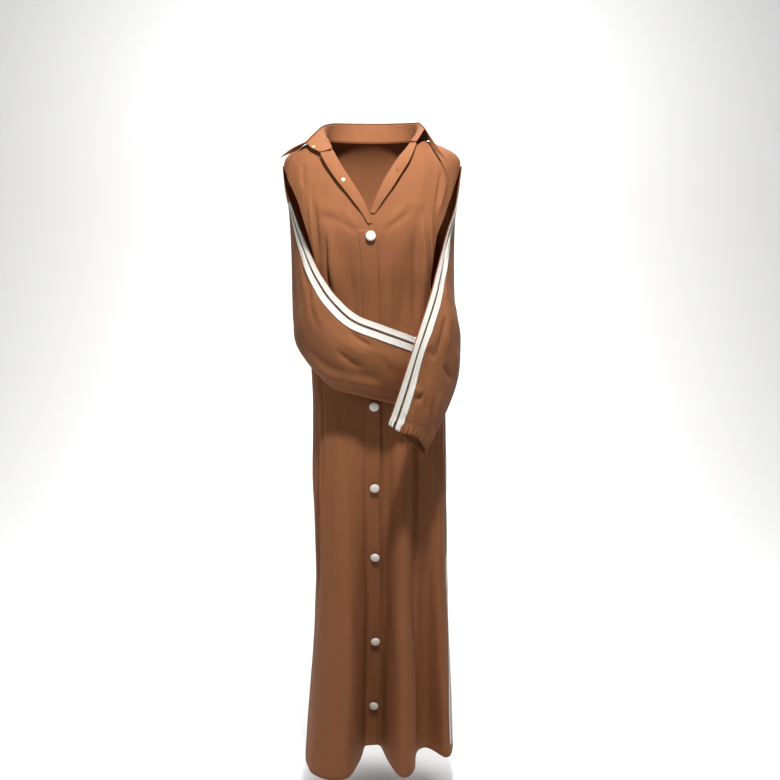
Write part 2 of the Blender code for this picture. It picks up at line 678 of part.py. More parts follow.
def turned_piece(name, mesh, segments, foot, axis, collection):
    """An outline turned once round its own Z, standing on its foot along the axis."""
    made = bpy.data.objects.new(name, mesh)
    collection.objects.link(made)
    made.location = foot
    made.rotation_euler = Vector(axis).to_track_quat("Z", "Y").to_euler()
    turn = made.modifiers.new("Turn", "SCREW")
    turn.angle = 2 * math.pi
    turn.steps = segments
    turn.render_steps = segments
    turn.use_merge_vertices = True
    turn.merge_threshold = 0.00001
    turn.use_smooth_shade = True
    return made


def new_material(name, colour, roughness, metallic=0.0):
    material = bpy.data.materials.new(name)
    material.use_nodes = True
    shader = material.node_tree.nodes["Principled BSDF"]
    shader.inputs["Base Color"].default_value = colour
    shader.inputs["Roughness"].default_value = roughness
    shader.inputs["Metallic"].default_value = metallic
    return material


def new_object(name, mesh, material, collection):
    mesh.materials.append(material)
    made = bpy.data.objects.new(name, mesh)
    collection.objects.link(made)
    return made


def cloth_piece(name, grid, thickness, material, collection):
    """A grid of points as an open sheet, thickened evenly to both sides."""
    rows, columns = grid.shape[:2]
    index = np.arange(rows * columns).reshape(rows, columns)
    corners = np.stack([index[:-1, :-1], index[1:, :-1], index[1:, 1:], index[:-1, 1:]], axis=-1)
    mesh = bpy.data.meshes.new(name)
    mesh.from_pydata(grid.reshape(-1, 3).tolist(), [], corners.reshape(-1, 4).tolist())
    made = new_object(name, mesh, material, collection)
    wall = made.modifiers.new("Wall", "SOLIDIFY")
    wall.thickness = thickness
    wall.offset = 0.0
    mesh.shade_smooth()
    return made


OUTER_TAPE_END = TAPE_INSET + INNER_TAPE_WIDTH + SNAP_STRIP_WIDTH + OUTER_TAPE_WIDTH + 2 * SEAM_GAP


def main():
    for old in list(bpy.data.objects):
        bpy.data.objects.remove(old)
    abaya = bpy.data.collections.new("Abaya")
    bpy.context.scene.collection.children.link(abaya)
    crepe = new_material("tan_crepe", TAN, 0.6)
    white = new_material("white_tape", WHITE, 0.7)
    brown = new_material("brown_strip", TAN_DARK, 0.6)
    pearl = new_material("pearl_button", PEARL, 0.25)
    gold = new_material("gold_snap", GOLD, 0.3, 1.0)

    cloth_piece("front_right", front_grid(True), CLOTH, crepe, abaya)
    cloth_piece("front_left", front_grid(False), CLOTH, crepe, abaya)
    cloth_piece("back", back_grid(), CLOTH, crepe, abaya)
    cloth_piece("placket", placket_grid(), FACING, crepe, abaya)
    cloth_piece("lapel_right", lapel_grid(True), FACING, crepe, abaya)
    cloth_piece("lapel_left", lapel_grid(False), FACING, crepe, abaya)
    cloth_piece("collar_stand", stand_grid(), CLOTH, crepe, abaya)
    cloth_piece("collar_leaf", leaf_grid(), CLOTH, crepe, abaya)
    for name, table, side in (("right", RIGHT_SLEEVE, -1), ("left", LEFT_SLEEVE, 1)):
        cloth_piece("sleeve_" + name, sleeve_grid(table, SLEEVE_ROWS, SLEEVE_COLUMNS, side), CLOTH, crepe, abaya)
        lift = (CLOTH + TAPE) / 2 + LAID_GAP
        start = TAPE_INSET
        end = start + INNER_TAPE_WIDTH
        grid = tape_grid(table, side, start, end, lift)
        cloth_piece("inner_tape_" + name, grid, TAPE, white, abaya)
        start = end + SEAM_GAP
        end = start + SNAP_STRIP_WIDTH
        grid = tape_grid(table, side, start, end, lift)
        cloth_piece("snap_strip_" + name, grid, TAPE, brown, abaya)
        start = end + SEAM_GAP
        end = start + OUTER_TAPE_WIDTH
        grid = tape_grid(table, side, start, end, lift)
        cloth_piece("outer_tape_" + name, grid, TAPE, white, abaya)
        cloth_piece("side_tape_" + name, side_tape_grid(side), TAPE, white, abaya)

    button = turned_mesh("button", BUTTON_PROFILE, pearl)
    for number, (drop, nod, sway) in enumerate(BUTTONS, 1):
        point, normal = on_middle(drop)
        tilt = SHANK_RADIUS * math.sin(math.radians(math.hypot(nod, sway)))
        foot = point + normal * (FACING / 2 + LAID_GAP + tilt)
        tip = Vector(normal) + Vector((math.radians(sway), 0.0, -math.radians(nod)))
        turned_piece("button_%d" % number, button, BUTTON_SEGMENTS, foot, tip, abaya)

    bare = turned_mesh("snap", SNAP_PROFILE, gold)
    covered = turned_mesh("covered_snap", SNAP_PROFILE, crepe)
    point, normal = on_grid(stand_grid(), *STAND_SNAP)
    foot = point + normal * (CLOTH / 2 + SEAM_GAP)
    turned_piece("snap_stand_right", bare, SNAP_SEGMENTS, foot, normal, abaya)

    for name, is_right, drop, share, is_covered in LAPEL_SNAPS:
        place = lapel_point(is_right, drop, share)
        along = lapel_point(is_right, drop + 0.002, share) - place
        across = lapel_point(is_right, drop, share + 0.05) - place
        normal = np.cross(along, across) * (-1 if is_right else 1)
        normal /= np.linalg.norm(normal)
        foot = place + normal * (FACING / 2 + SEAM_GAP)
        outline = covered if is_covered else bare
        turned_piece(name, outline, SNAP_SEGMENTS, foot, normal, abaya)


main()
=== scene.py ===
"""Dressed model of an open-collar abaya in tan satin-backed crepe, hanging in its worn form.

Metres, +Z up, the front faces -Y, the origin is the high shoulder point on the middle plane.
"Right" and "left" are the wearer's. An angle runs round the body in degrees, from the middle
front towards +X, and a drop is measured down from the neck point. Each cloth piece is a surface
worked out on a grid of these two parameters, with its creases listed in the tables.
"""

import logging
import math
from dataclasses import dataclass, field
from enum import Enum

import bpy
import numpy as np
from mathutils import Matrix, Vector


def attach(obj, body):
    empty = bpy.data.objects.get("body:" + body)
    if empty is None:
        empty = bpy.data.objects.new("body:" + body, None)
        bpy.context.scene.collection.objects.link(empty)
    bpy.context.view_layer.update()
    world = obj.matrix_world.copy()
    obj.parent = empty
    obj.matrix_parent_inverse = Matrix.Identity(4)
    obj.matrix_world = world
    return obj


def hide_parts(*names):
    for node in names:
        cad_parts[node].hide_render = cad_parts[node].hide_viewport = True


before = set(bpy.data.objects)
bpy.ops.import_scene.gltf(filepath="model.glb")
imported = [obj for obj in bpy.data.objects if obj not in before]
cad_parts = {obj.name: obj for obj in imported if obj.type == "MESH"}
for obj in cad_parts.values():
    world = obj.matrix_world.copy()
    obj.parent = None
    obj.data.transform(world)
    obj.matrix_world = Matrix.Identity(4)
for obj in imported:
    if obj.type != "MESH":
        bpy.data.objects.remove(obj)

LOG = logging.getLogger("abaya")
Array = np.ndarray
Point = tuple[float, float, float]
MM = 1000.0


def table(text: str, *scale: float) -> Array:
    """Rows of numbers written as text, each column divided by its scale, as MM for lengths."""
    return np.array([line.split() for line in text.strip().splitlines()], float) / scale


# Body rings, mm: drop, middle_x, half_width, front_depth, back_depth
RINGS = table("""
0 -8 100 46 62
7 -7 132 56 70
18 -6 160 68 80
30 -5 182 78 88
42 -5 193 86 94
55 -6 197 94 99
85 -8 197 108 106
130 -8 193 124 111
200 -7 184 141 108
270 -4 174 136 101
340 0 164 126 96
450 4 155 121 100
600 8 150 124 116
825 11 146 126 122
1070 18 130 124 122
1412 20 130 120 120
""", MM)

# Flutes of the hem, once round: hip_angle, then mm: hem_x, hem_y
FLUTES = table("""
-8 -26 -56
-5 -19 -52
0 -7 -50
5 5 -53
7 10 -60
11 26 -118
17 54 -186
27 90 -158
34 96 -90
43 116 -61
60 161 -106
90 186 -20
112 182 75
130 146 150
143 108 120
158 66 196
172 26 138
188 -24 202
203 -70 134
220 -116 180
240 -160 110
270 -164 10
291 -163 -102
310 -138 -180
328 -86 -204
341 -50 -176
347 -34 -112
""", 1, MM, MM)

# Hanging folds: angle, spread, then mm: top_drop, bottom_drop, rise (out is positive)
FOLDS = table("""
-27 5 150 440 6
-15 4 200 420 -5
-40 5 120 360 -4
8 4 220 560 4
20 6 220 500 -5
37 5 140 440 6
-53 4.5 500 1120 10
-64 4.5 500 1150 -11
150 7 140 600 6
167 7 200 700 -6
190 7 160 620 6
212 7 180 660 -6
""", 1, 1, MM, MM, MM)

# Creases of the body, in degrees and mm: a line from one place to another, its widths towards
# smaller and larger angles, and its rise. angle_0, drop_0, angle_1, drop_1, width_0, width_1, rise
BODY_CREASES = table("""
-27.5 200 -33.5 345 9 2 -6
-24 190 -29 350 4 7 1.8
-39.5 105 -43.5 280 6 5 3.6
-35 140 -38 260 5 5 -2.6
-45.5 45 -45 120 6 6 -2.8
-38 150 -14 172 12 16 2.2
-33 172 -16 180 11 9 -2.4
-5 210 -22 176 5 5 -2
-5 200 -18 150 6 6 1.6
-15 230 -18 380 8 8 1.6
6 206 27 158 5 6 -2.2
6 196 24 140 6 6 1.8
29 150 32 440 12 8 -6.5
18 140 36 152 10 12 2
11 200 8.5 430 10 10 3
33 160 38.5 310 4 3.5 2.8
38 290 45 350 4 3.5 2.4
40 155 46 290 3.5 3.5 2.8
48.5 66 45.5 160 4 3 -3.6
54 90 47.5 175 4 5 3
-50.5 440 -49.5 850 11 2.2 -12
-49.5 760 -66 1080 11 3 -6.5
-46 440 -45 860 3 12 2.2
-60 420 -57 620 6 3 3
-34 460 -32 1150 22 20 3
-17 560 -18 1240 14 15 -3.6
17 480 16 1380 12 12 3.6
35 470 34 1250 19 3.5 -12
5 470 5.4 1385 22 1.8 -4.5
23 500 22.5 1340 8 2.4 2.2
46 520 48 1000 12 12 3
58 480 60 1120 10 6 -3
70 460 72 860 9 12 2.6
-76 440 -78 880 10 10 2.6
-86 620 -84 1100 8 8 -3
-70 900 -72 1280 12 5 -3.6
84 560 88 1120 12 4 -4.4
104 440 108 940 3 14 -6.4
99 450 102 880 11 5 2.6
122 120 128 440 4 10 -4
133 430 131 900 13 4 4
140 100 146 350 8 6 3
152 560 150 1240 12 2.6 -7.6
158 230 160 640 9 7 -3.6
176 150 179 460 10 12 2.6
181 470 177 1100 2.8 15 -7
198 420 201 980 12 10 3.6
204 120 200 410 6 9 -3.6
214 600 212 1280 13 3 -7
223 110 217 390 8 6 3
230 430 233 1020 4 13 -5.2
247 480 244 900 10 12 3
256 700 259 1260 10 4 -4.6
150 40 168 90 8 8 -1.8
212 38 196 94 8 8 -1.8
""", 1, MM, 1, MM, MM, MM, MM)

# Front neckline, where the fronts roll outwards, mm: drop, right_side, left_side
NECKLINE = table("""
0 94 92
20 89 79
43 77 60
75 55.5 41
105 35 25
140 14 9
165 4 1
190 -4 -6
215 -10 -11
240 -12 -12
300 -12 -12
""", MM)

# Armhole edges from the body's middle line, mm: drop, right_front, left_front, back
ARMHOLE = table("""
55 197 197 197
85 184 190 188
136 160 173 174
173 148 159 169
211 137 144 164
270 125 131 158
330 122 124 154.5
375 137 137 156
420 157.3 157.3 157.3
""", MM)

# Sleeve sections, mm: edge xyz, fold xyz, back xyz, seam_drop, bulge, then peak as a share
SLEEVE_SCALE = (MM,) * 11 + (1,)
RIGHT_SLEEVE = table("""
-205 -10 -59 -204.8 0 -57.5 0 0 0 57 1 0.5
-196.5 -31 -110 -200.5 10 -110 0 0 0 120 2 0.45
-181 -40 -150 -195 26 -165 0 0 0 190 2 0.45
-158.5 -64 -207 -192.5 36 -250 0 0 0 290 6 0.35
-124 -111 -278 -191 20 -345 0 0 0 420 18 0.35
-104 -134 -309 -186 -18 -400 -152 -86 -398 0 22 0.37
-79 -156 -341 -172 -60 -462 -104 -132 -362 0 28 0.4
-36 -190 -377 -98 -150 -532 -37 -178 -381 0 26 0.5
18 -210 -397 -24 -172 -553 17 -194 -401 0 21 0.5
64 -208 -414 32 -176 -566 63 -192 -418 0 17 0.5
93 -199 -426 64 -172 -574 92 -183 -430 0 13 0.5
""", *SLEEVE_SCALE)
LEFT_SLEEVE = table("""
193.5 -10 -59 193.8 0 -57.5 0 0 0 57 1 0.5
184.5 -31 -110 187.8 12 -110 0 0 0 120 2 0.45
178 -42 -150 182 30 -170 0 0 0 190 1 0.45
158 -66 -208 181 44 -250 0 0 0 290 3 0.35
134 -110 -290 184 36 -360 0 0 0 420 16 0.35
122 -146 -331 190 12 -408 156 -86 -402 0 24 0.38
106 -186 -376 193 -10 -455 124 -150 -392 0 34 0.42
79 -240 -450 185 -70 -528 84 -231 -454 0 24 0.5
56 -256 -520 150 -158 -600 60 -242 -524 0 21 0.5
30 -258 -599 107 -205 -672 34 -241 -603 0 18 0.5
""", *SLEEVE_SCALE)

# Creases of the sleeves, places in thousandths round the section and along the sleeve, sizes
# in mm: around_0, along_0, around_1, along_1, width_0, width_1, rise
RIGHT_SLEEVE_CREASES = table("""
110 700 176 795 6.5 6.5 -4
262 690 330 790 8 8 -4.4
172 690 259 796 9 9 1.6
450 620 402 745 9 8 4.2
405 705 392 870 9 8 4
392 640 356 755 8 8 -2.1
356 725 350 860 8 8 -2
340 360 378 650 10 10 2.6
200 480 285 670 10 12 -3.3
127 550 113 690 10 10 1.6
320 240 350 460 8 8 2
205 280 217 550 12 12 -2.6
187 800 330 900 10 10 -1.5
440 740 450 960 6 6 -1.6
600 300 640 620 12 6 -2.4
720 420 700 820 10 10 1.8
820 350 800 620 9 9 -1.6
560 660 610 900 10 6 -2
""", MM)
LEFT_SLEEVE_CREASES = table("""
245 776 402 804 6 4.5 -5.7
90 760 190 775 6 6 -3.9
183 780 169 640 8 5 -3.6
179 620 267 755 8 8 2.8
325 710 420 790 12 12 4.4
50 690 150 756 14 14 2.8
90 880 190 880 5 5 4.1
125 907 215 886 5 6 -3.9
205 882 305 926 6 6 -3.1
88 780 208 855 10 10 -2.1
140 920 258 992 5 5 2.6
80 946 180 972 4 4 -2.5
183 380 169 610 8 8 2.3
244 520 283 730 8 8 -2.5
316 840 420 940 9 9 2.8
270 870 440 975 9 6 -2.8
100 300 130 520 10 10 -2.1
600 300 640 640 12 6 -3
720 440 700 860 10 10 2.3
830 380 800 660 9 9 -2
560 700 620 930 10 6 -2.5
""", MM)

# Lapels, mm: drop, width, free_edge_height
RIGHT_LAPEL = table("""
34 37 12
75 33 11
105 28 9
140 19.5 7
165 11 5
188 5 3
""", MM)
LEFT_LAPEL = table("""
16 20 10
43 30 11.5
75 29 10
105 25 8.5
140 15 6
166 6 3.5
""", MM)

# Collar, right end to left: side, lapel_share, drop in mm, angle, then mm: head xyz,
# leaf edge xyz, arch
COLLAR = table("""
-1 1 34 0 -150.5 -59 -18 -206 -60 -47 6
-1 0.5 34 0 -141 -42 -3 -172 -45 -31 1
-1 0 26 0 -129 -26 12 -157 -22 -15.5 2
-1 0 10 0 -122 -16 20 -149 4 -9.5 3
-1 0 0 0 -114 -4 28 -142 26 -4 5
0 0 0 62 -94 36 38 -119 63 -6 8
0 0 0 28 -56 68 42 -69 94 -13 9
0 0 0 0 -8 78 43 -8 104 -15 9
0 0 0 -28 40 68 42 51 94 -13 9
0 0 0 -62 82 36 39 102 63 -5 8
1 0 0 0 98 -6 34 118 14 -3 5
1 0 10 0 105 -28 25 122.5 -32 -8.5 2
1 0.5 16 0 108.5 -41 20 126 -62 -26 3
1 1 16 0 109.5 -52 16.5 159 -98 -59 -2
""", 1, 1, MM, 1, *(MM,) * 7)

# Front buttons: drop in mm, nod and sway in degrees
BUTTONS = table("""
214 4 0
408 0 0
582 11 -4
767 12 5
932 13 -5
1139 10 4
1304 8 -3
""", MM, 1, 1)

# Profiles from the foot to the top. Radius as a share of the shank's or the button's, height in mm
SHANK_PROFILE = table("""
0 0
1 0
1 1.4
1 2.7
""", 1, MM)
BUTTON_PROFILE = table("""
0.5 3
0.86 3.4
0.97 4
1 4.9
0.96 5.7
0.84 6.5
0.6 7.2
0.3 7.6
0 7.7
""", 1, MM)

# Press stud, a flat ring with a small ball in the middle, mm: radius, height
STUD_PROFILE = table("""
0 0
3.6 0
3.7 0.5
3.4 0.8
2.4 0.8
1.8 1
1.5 1.5
0.7 1.8
0 1.8
""", MM)


class Side(Enum):
    """The wearer's sides. The value is the sign of X there."""

    RIGHT = -1
    LEFT = 1

    @property
    def word(self) -> str:
        """The side's name as the pieces carry it."""
        return self.name.lower()

    def pick(self, right: object, left: object) -> object:
        """The one of two values that belongs to this side."""
        return right if self is Side.RIGHT else left


def through(knots: Array, values: Array, at: Array) -> Array:
    """Smooth curve through values at knots: cubic Hermite pieces whose slopes are the weighted
    means of the neighbouring chords.

    Args:
        knots: rising parameters, one for each value.
        values: values or rows of values at the knots.
        at: parameters to work out.

    Returns:
        The values at those parameters.
    """
    at = np.clip(np.asarray(at, float), knots[0], knots[-1])
    gaps = np.diff(knots)
    rates = (np.diff(values, axis=0).T / gaps).T
    slopes = np.empty_like(values)
    slopes[0], slopes[-1] = rates[0], rates[-1]
    share = (gaps[:-1] / (gaps[:-1] + gaps[1:])).reshape((-1,) + (1,) * (values.ndim - 1))
    slopes[1:-1] = rates[:-1] * (1 - share) + rates[1:] * share
    cell = np.clip(np.searchsorted(knots, at, side="right") - 1, 0, len(gaps) - 1)
    spread = cell.shape + (1,) * (values.ndim - 1)
    t = ((at - knots[cell]) / gaps[cell]).reshape(spread)
    gap = gaps[cell].reshape(spread)
    keep = 2 * t**3 - 3 * t**2 + 1
    bend = (t**3 - 2 * t**2 + t) * gap * slopes[cell] + (t**3 - t**2) * gap * slopes[cell + 1]
    return keep * values[cell] + (1 - keep) * values[cell + 1] + bend


def smooth_step(t: Array) -> Array:
    """0 below 0, 1 above 1, and 3t^2 - 2t^3 between."""
    t = np.clip(t, 0, 1)
    return t * t * (3 - 2 * t)


def signed_power(value: Array, power: float) -> Array:
    """The power of the size, with the sign kept."""
    return np.sign(value) * np.abs(value) ** power


def unit(vectors: Array) -> Array:
    """The vectors in the last axis at length 1."""
    return vectors / np.maximum(np.linalg.norm(vectors, axis=-1, keepdims=True), 1e-12)


def crease_rise(across: Array, along: Array, creases: Array, size: tuple) -> Array:
    """Sum of creases: rise * exp(-(distance from the line / width)^2), fading at both ends.

    Args:
        across: first parameter of each point, in the table's units.
        along: second parameter.
        creases: rows of across_0, along_0, across_1, along_1, width_0, width_1, rise.
        size: metres in one unit of each parameter.

    Returns:
        How far each point moves out along its normal.
    """
    faded_end = 0.35
    total = np.zeros(np.broadcast(across, along).shape)
    for a0, l0, a1, l1, width_0, width_1, rise in creases:
        run = np.array([(a1 - a0) * size[0], (l1 - l0) * size[1]])
        length = math.hypot(*run)
        x, y = (across - a0) * size[0], (along - l0) * size[1]
        share = (x * run[0] + y * run[1]) / length**2
        aside = (x * run[1] - y * run[0]) / length
        fade = smooth_step(share / faded_end) * smooth_step((1 - share) / faded_end)
        total += rise * np.exp(-((aside / np.where(aside > 0, width_1, width_0)) ** 2)) * fade
    return total


def ripple(across: Array, along: Array, height: float, seed: int) -> Array:
    """Faint unevenness of hanging cloth: nine sine waves in metres, long down the cloth and
    short across it, with seeded phases.

    Args:
        across: metres across the cloth.
        along: metres down the cloth.
        height: height of the strongest wave.
        seed: seed of the waves.

    Returns:
        How far each point moves out along its normal.
    """
    waves, widest = 9, 0.085
    draw = np.random.default_rng(seed)
    total = np.zeros(np.broadcast(across, along).shape)
    for short, long in zip(draw.uniform(0.024, widest, waves), draw.uniform(0.12, 0.5, waves)):
        phase, tilt = draw.uniform(0, 2 * np.pi), draw.choice((-1, 1))
        wave = np.sin(2 * np.pi * (across / short + tilt * along / long) + phase)
        total += height * wave * (short / widest)
    return total


def grid_normals(grid: Array) -> Array:
    """Unit normals of a grid of points: the cross product of its two gradients."""
    return unit(np.cross(np.gradient(grid, axis=1), np.gradient(grid, axis=0)))


def run_length(points: Array, axis: int) -> Array:
    """Distance travelled along an axis of a grid of points, starting from 0.

    Args:
        points: a grid of points.
        axis: the grid's axis to travel along.

    Returns:
        The distance at each point.
    """
    step = np.linalg.norm(np.diff(points, axis=axis), axis=-1)
    pad = [(0, 0)] * step.ndim
    pad[axis] = (1, 0)
    return np.cumsum(np.pad(step, pad), axis=axis)


@dataclass(frozen=True)
class Body:
    """The worn form: rings over the shoulders, chest and hips that blend into hem flutes."""

    length: float = 1.412
    shoulder_drop: float = 0.055
    underarm_drop: float = 0.420
    skirt_start: float = 0.560
    skirt_power: float = 1.15
    roundness: float = 0.88
    crease_scale: float = 0.155
    crease_start: float = -92.0
    ripple_height: float = 0.00040
    calm_drop: float = 0.12
    hip_drop: float = 0.46
    seam_swing: float = 17.0
    swing_start: float = 0.80
    seam_back: float = 7.0
    back_start: float = 0.43
    back_reach: float = 0.19
    middle_turn: float = 2.0
    turn_start: float = 0.25
    turn_reach: float = 0.25
    hem_share: float = 0.72

    def ring(self, drop: Array) -> Array:
        """middle_x, half_width, front_depth and back_depth at this drop."""
        return np.moveaxis(through(RINGS[:, 0], RINGS[:, 1:], drop), -1, 0)

    def fall(self, drop: Array, start: float) -> Array:
        """Share of the way from a starting drop down to the hem."""
        return (drop - start) / (self.length - start)

    def hem(self, angle: Array) -> Array:
        """Where the cloth line that leaves the hips at this angle meets the hem, x and y.

        Args:
            angle: degrees at the hips.

        Returns:
            x and y in the last axis.
        """
        turn = np.array([360.0, 0.0, 0.0])
        rows = np.vstack([FLUTES[-3:] - turn, FLUTES, FLUTES[:3] + turn])
        first = FLUTES[0, 0]
        return through(rows[:, 0], rows[:, 1:], (np.asarray(angle, float) - first) % 360 + first)

    def base(self, angle: Array, drop: Array) -> Array:
        """Point of the smooth form: x = middle + width * sin^r, y = -depth * cos^r, moved out
        by the hanging folds, then drawn towards the hem's flutes below the hips.

        Args:
            angle: degrees from the middle front towards +X.
            drop: metres below the neck point.

        Returns:
            Points, with x, y and z in the last axis.
        """
        angle, drop = np.broadcast_arrays(np.asarray(angle, float), np.asarray(drop, float))
        middle, half_width, front_depth, back_depth = self.ring(drop)
        angle = angle - self.drift(angle, drop)
        turn = np.radians(angle)
        across = signed_power(np.sin(turn), self.roundness)
        forward = signed_power(np.cos(turn), self.roundness)
        rise = np.zeros(angle.shape)
        for at, spread, top, bottom, height in FOLDS:
            off = (angle - at + 180) % 360 - 180
            share = np.clip((drop - top) / (bottom - top), 0, 1)
            rise += height * np.exp(-((off / spread) ** 2)) * np.sin(np.pi * share) ** 2
        x = middle + (half_width + rise) * across
        y = -(np.where(forward > 0, front_depth, back_depth) + rise) * forward
        hem = self.hem(angle)
        fall = np.clip(self.fall(drop, self.skirt_start), 0, 1) ** self.skirt_power
        return np.stack([x + (hem[..., 0] - x) * fall, y + (hem[..., 1] - y) * fall, -drop], -1)

    def drift(self, angle: Array, drop: Array) -> Array:
        """Degrees by which the cloth in front is turned towards the right side, most between
        the waist and the knees and not at all behind.

        Args:
            angle: degrees from the middle front towards +X.
            drop: metres below the neck point.

        Returns:
            The degrees.
        """
        off = smooth_step(self.fall(drop, self.swing_start))
        on = smooth_step((drop - self.turn_start) / self.turn_reach)
        return self.middle_turn * on * (1 - off) * (0.5 + 0.5 * np.cos(np.radians(angle)))

    def normal(self, angle: Array, drop: Array) -> Array:
        """Unit outward normal of the smooth form, from small steps along it.

        Args:
            angle: degrees from the middle front towards +X.
            drop: metres below the neck point.

        Returns:
            The normals, in the last axis.
        """
        turn, step = 0.05, 0.0005
        across = self.base(angle + turn, drop) - self.base(angle - turn, drop)
        down = self.base(angle, drop + step) - self.base(angle, drop - step)
        return unit(np.cross(across, -down))

    def point(self, angle: Array, drop: Array, lift: Array = 0.0) -> Array:
        """Point of the creased cloth, moved out along the smooth form's normal by the lift.

        Args:
            angle: degrees from the middle front towards +X.
            drop: metres below the neck point.
            lift: metres off the cloth.

        Returns:
            The points, in the last axis.
        """
        angle, drop = np.broadcast_arrays(np.asarray(angle, float), np.asarray(drop, float))
        around = (angle - self.crease_start) % 360 + self.crease_start
        size = (math.radians(1) * self.crease_scale, 1.0)
        rise = crease_rise(around, drop, BODY_CREASES, size) + lift
        faint = ripple(np.radians(around) * self.crease_scale, drop, self.ripple_height, 3)
        rise = rise + faint * smooth_step(drop / self.calm_drop)
        return self.base(angle, drop) + self.normal(angle, drop) * rise[..., None]

    def angle_at(self, distance: Array, drop: Array) -> Array:
        """The ring angle whose point lies this far from the body's middle line."""
        share = np.clip(distance / self.ring(drop)[1], -1, 1)
        return np.degrees(np.arcsin(signed_power(share, 1 / self.roundness)))

    def degrees(self, distance: Array, drop: Array) -> Array:
        """Degrees that a distance across the cloth takes on the ring at this drop."""
        return np.degrees(distance / self.ring(drop)[1])

    def neckline(self, drop: Array, side: Side) -> Array:
        """Angle of a front's own edge, towards its side."""
        distance = through(NECKLINE[:, 0], NECKLINE[:, side.pick(1, 2)], drop)
        return self.angle_at(distance, drop)

    def swing(self, drop: Array, side: Side) -> Array:
        """Degrees by which the left side seam lies forward of the side: a little behind it at
        the hips, then more and more forward towards the hem.

        Args:
            drop: metres below the neck point.
            side: which side of the garment.

        Returns:
            The degrees.
        """
        back = smooth_step((drop - self.back_start) / self.back_reach)
        fall = smooth_step(self.fall(drop, self.swing_start))
        turn = (self.seam_swing + self.seam_back) * fall - self.seam_back * back
        return turn * (side is Side.LEFT)

    def outer_edge(self, drop: Array, column: int) -> Array:
        """Angle of a panel's outer edge: shoulder seam, armhole, then side seam.

        Args:
            drop: metres below the neck point.
            column: the panel's column in the armhole table.

        Returns:
            The angle on that side.
        """
        distance = through(ARMHOLE[:, 0], ARMHOLE[:, column], drop)
        in_armhole = (drop > self.shoulder_drop) & (drop < self.underarm_drop)
        return np.where(in_armhole, self.angle_at(distance, drop), 90.0)

    def drops(self, fine: int = 6) -> Array:
        """Rows of a panel as a column, closer together over the shoulder and the armhole.

        Args:
            fine: steps from one main row to the next.

        Returns:
            The drop of each row.
        """
        rows = np.concatenate([
            [0.0, 0.006, 0.014, 0.024, 0.038],
            np.linspace(self.shoulder_drop, self.underarm_drop, 13),
            np.linspace(self.hip_drop, self.length, 17),
        ])
        at = np.linspace(0, len(rows) - 1, (len(rows) - 1) * fine + 1)
        return np.interp(at, np.arange(len(rows)), rows)[:, None]

    def even_shares(self, start: float, end: float, count: int) -> Array:
        """Shares between two hip angles that space the lines evenly at hem and hips alike.

        Args:
            start: first angle.
            end: last angle.
            count: how many lines.

        Returns:
            Shares from 0 to 1.
        """
        samples = 400
        along = run_length(self.hem(np.linspace(start, end, samples)), 0)
        even = np.interp(np.linspace(0, along[-1], count), along, np.linspace(0, 1, samples))
        return self.hem_share * even + (1 - self.hem_share) * np.linspace(0, 1, count)


BODY = Body()


# Finishes


@dataclass(frozen=True)
class Nodes:
    """A node tree with short ways to add to it."""

    tree: bpy.types.NodeTree

    def add(self, kind: str, feeds: dict, **settings: object) -> bpy.types.Node:
        """Adds a node.

        Args:
            kind: its type, without the common prefix.
            feeds: for each input, the socket that feeds it or its value.
            settings: its own properties.

        Returns:
            The node.
        """
        node = self.tree.nodes.new("ShaderNode" + kind)
        for name, value in settings.items():
            setattr(node, name, value)
        self.feed(node, feeds)
        return node

    def feed(self, node: bpy.types.Node, feeds: dict) -> None:
        """Links each input to its socket, or sets it to its value.

        Args:
            node: the node that is fed.
            feeds: for each input, a socket or a value.
        """
        for name, source in feeds.items():
            if isinstance(source, bpy.types.NodeSocket):
                self.tree.links.new(source, node.inputs[name])
            else:
                node.inputs[name].default_value = source

    def math(self, kind: str, *sources: object) -> bpy.types.NodeSocket:
        """The result of a Math node on sockets or numbers."""
        return self.add("Math", dict(enumerate(sources)), operation=kind).outputs[0]

    def stretch(self, mask: bpy.types.NodeSocket, low: float, high: float) -> bpy.types.NodeSocket:
        """A mask from 0 to 1 stretched to a range."""
        return self.add("MapRange", {"Value": mask, "To Min": low, "To Max": high}).outputs[0]

    def mix(self, share: object, first: object, second: object,
            blend: str = "MIX") -> bpy.types.NodeSocket:
        """The colour between two colours, each a socket or a value.

        Args:
            share: how much of the second.
            first: a colour.
            second: a colour.
            blend: how they are mixed.

        Returns:
            The mixed colour.
        """
        feeds = {0: share, 6: first, 7: second}
        return self.add("Mix", feeds, data_type="RGBA", blend_type=blend).outputs[2]


def new_group(name: str, inputs: dict[str, float], outputs: tuple[str, ...]) -> tuple:
    """An empty shader node group.

    Args:
        name: the group's name.
        inputs: value sockets and their defaults.
        outputs: names of its masks and heights.

    Returns:
        Its nodes, its input sockets by name and the node that takes its outputs.
    """
    tree = bpy.data.node_groups.new(name, "ShaderNodeTree")
    for label, value in inputs.items():
        socket = tree.interface.new_socket(label, in_out="INPUT", socket_type="NodeSocketFloat")
        socket.default_value = value
    for label in outputs:
        tree.interface.new_socket(label, in_out="OUTPUT", socket_type="NodeSocketFloat")
    start, end = (tree.nodes.new("NodeGroup" + way) for way in ("Input", "Output"))
    return Nodes(tree), start.outputs, end


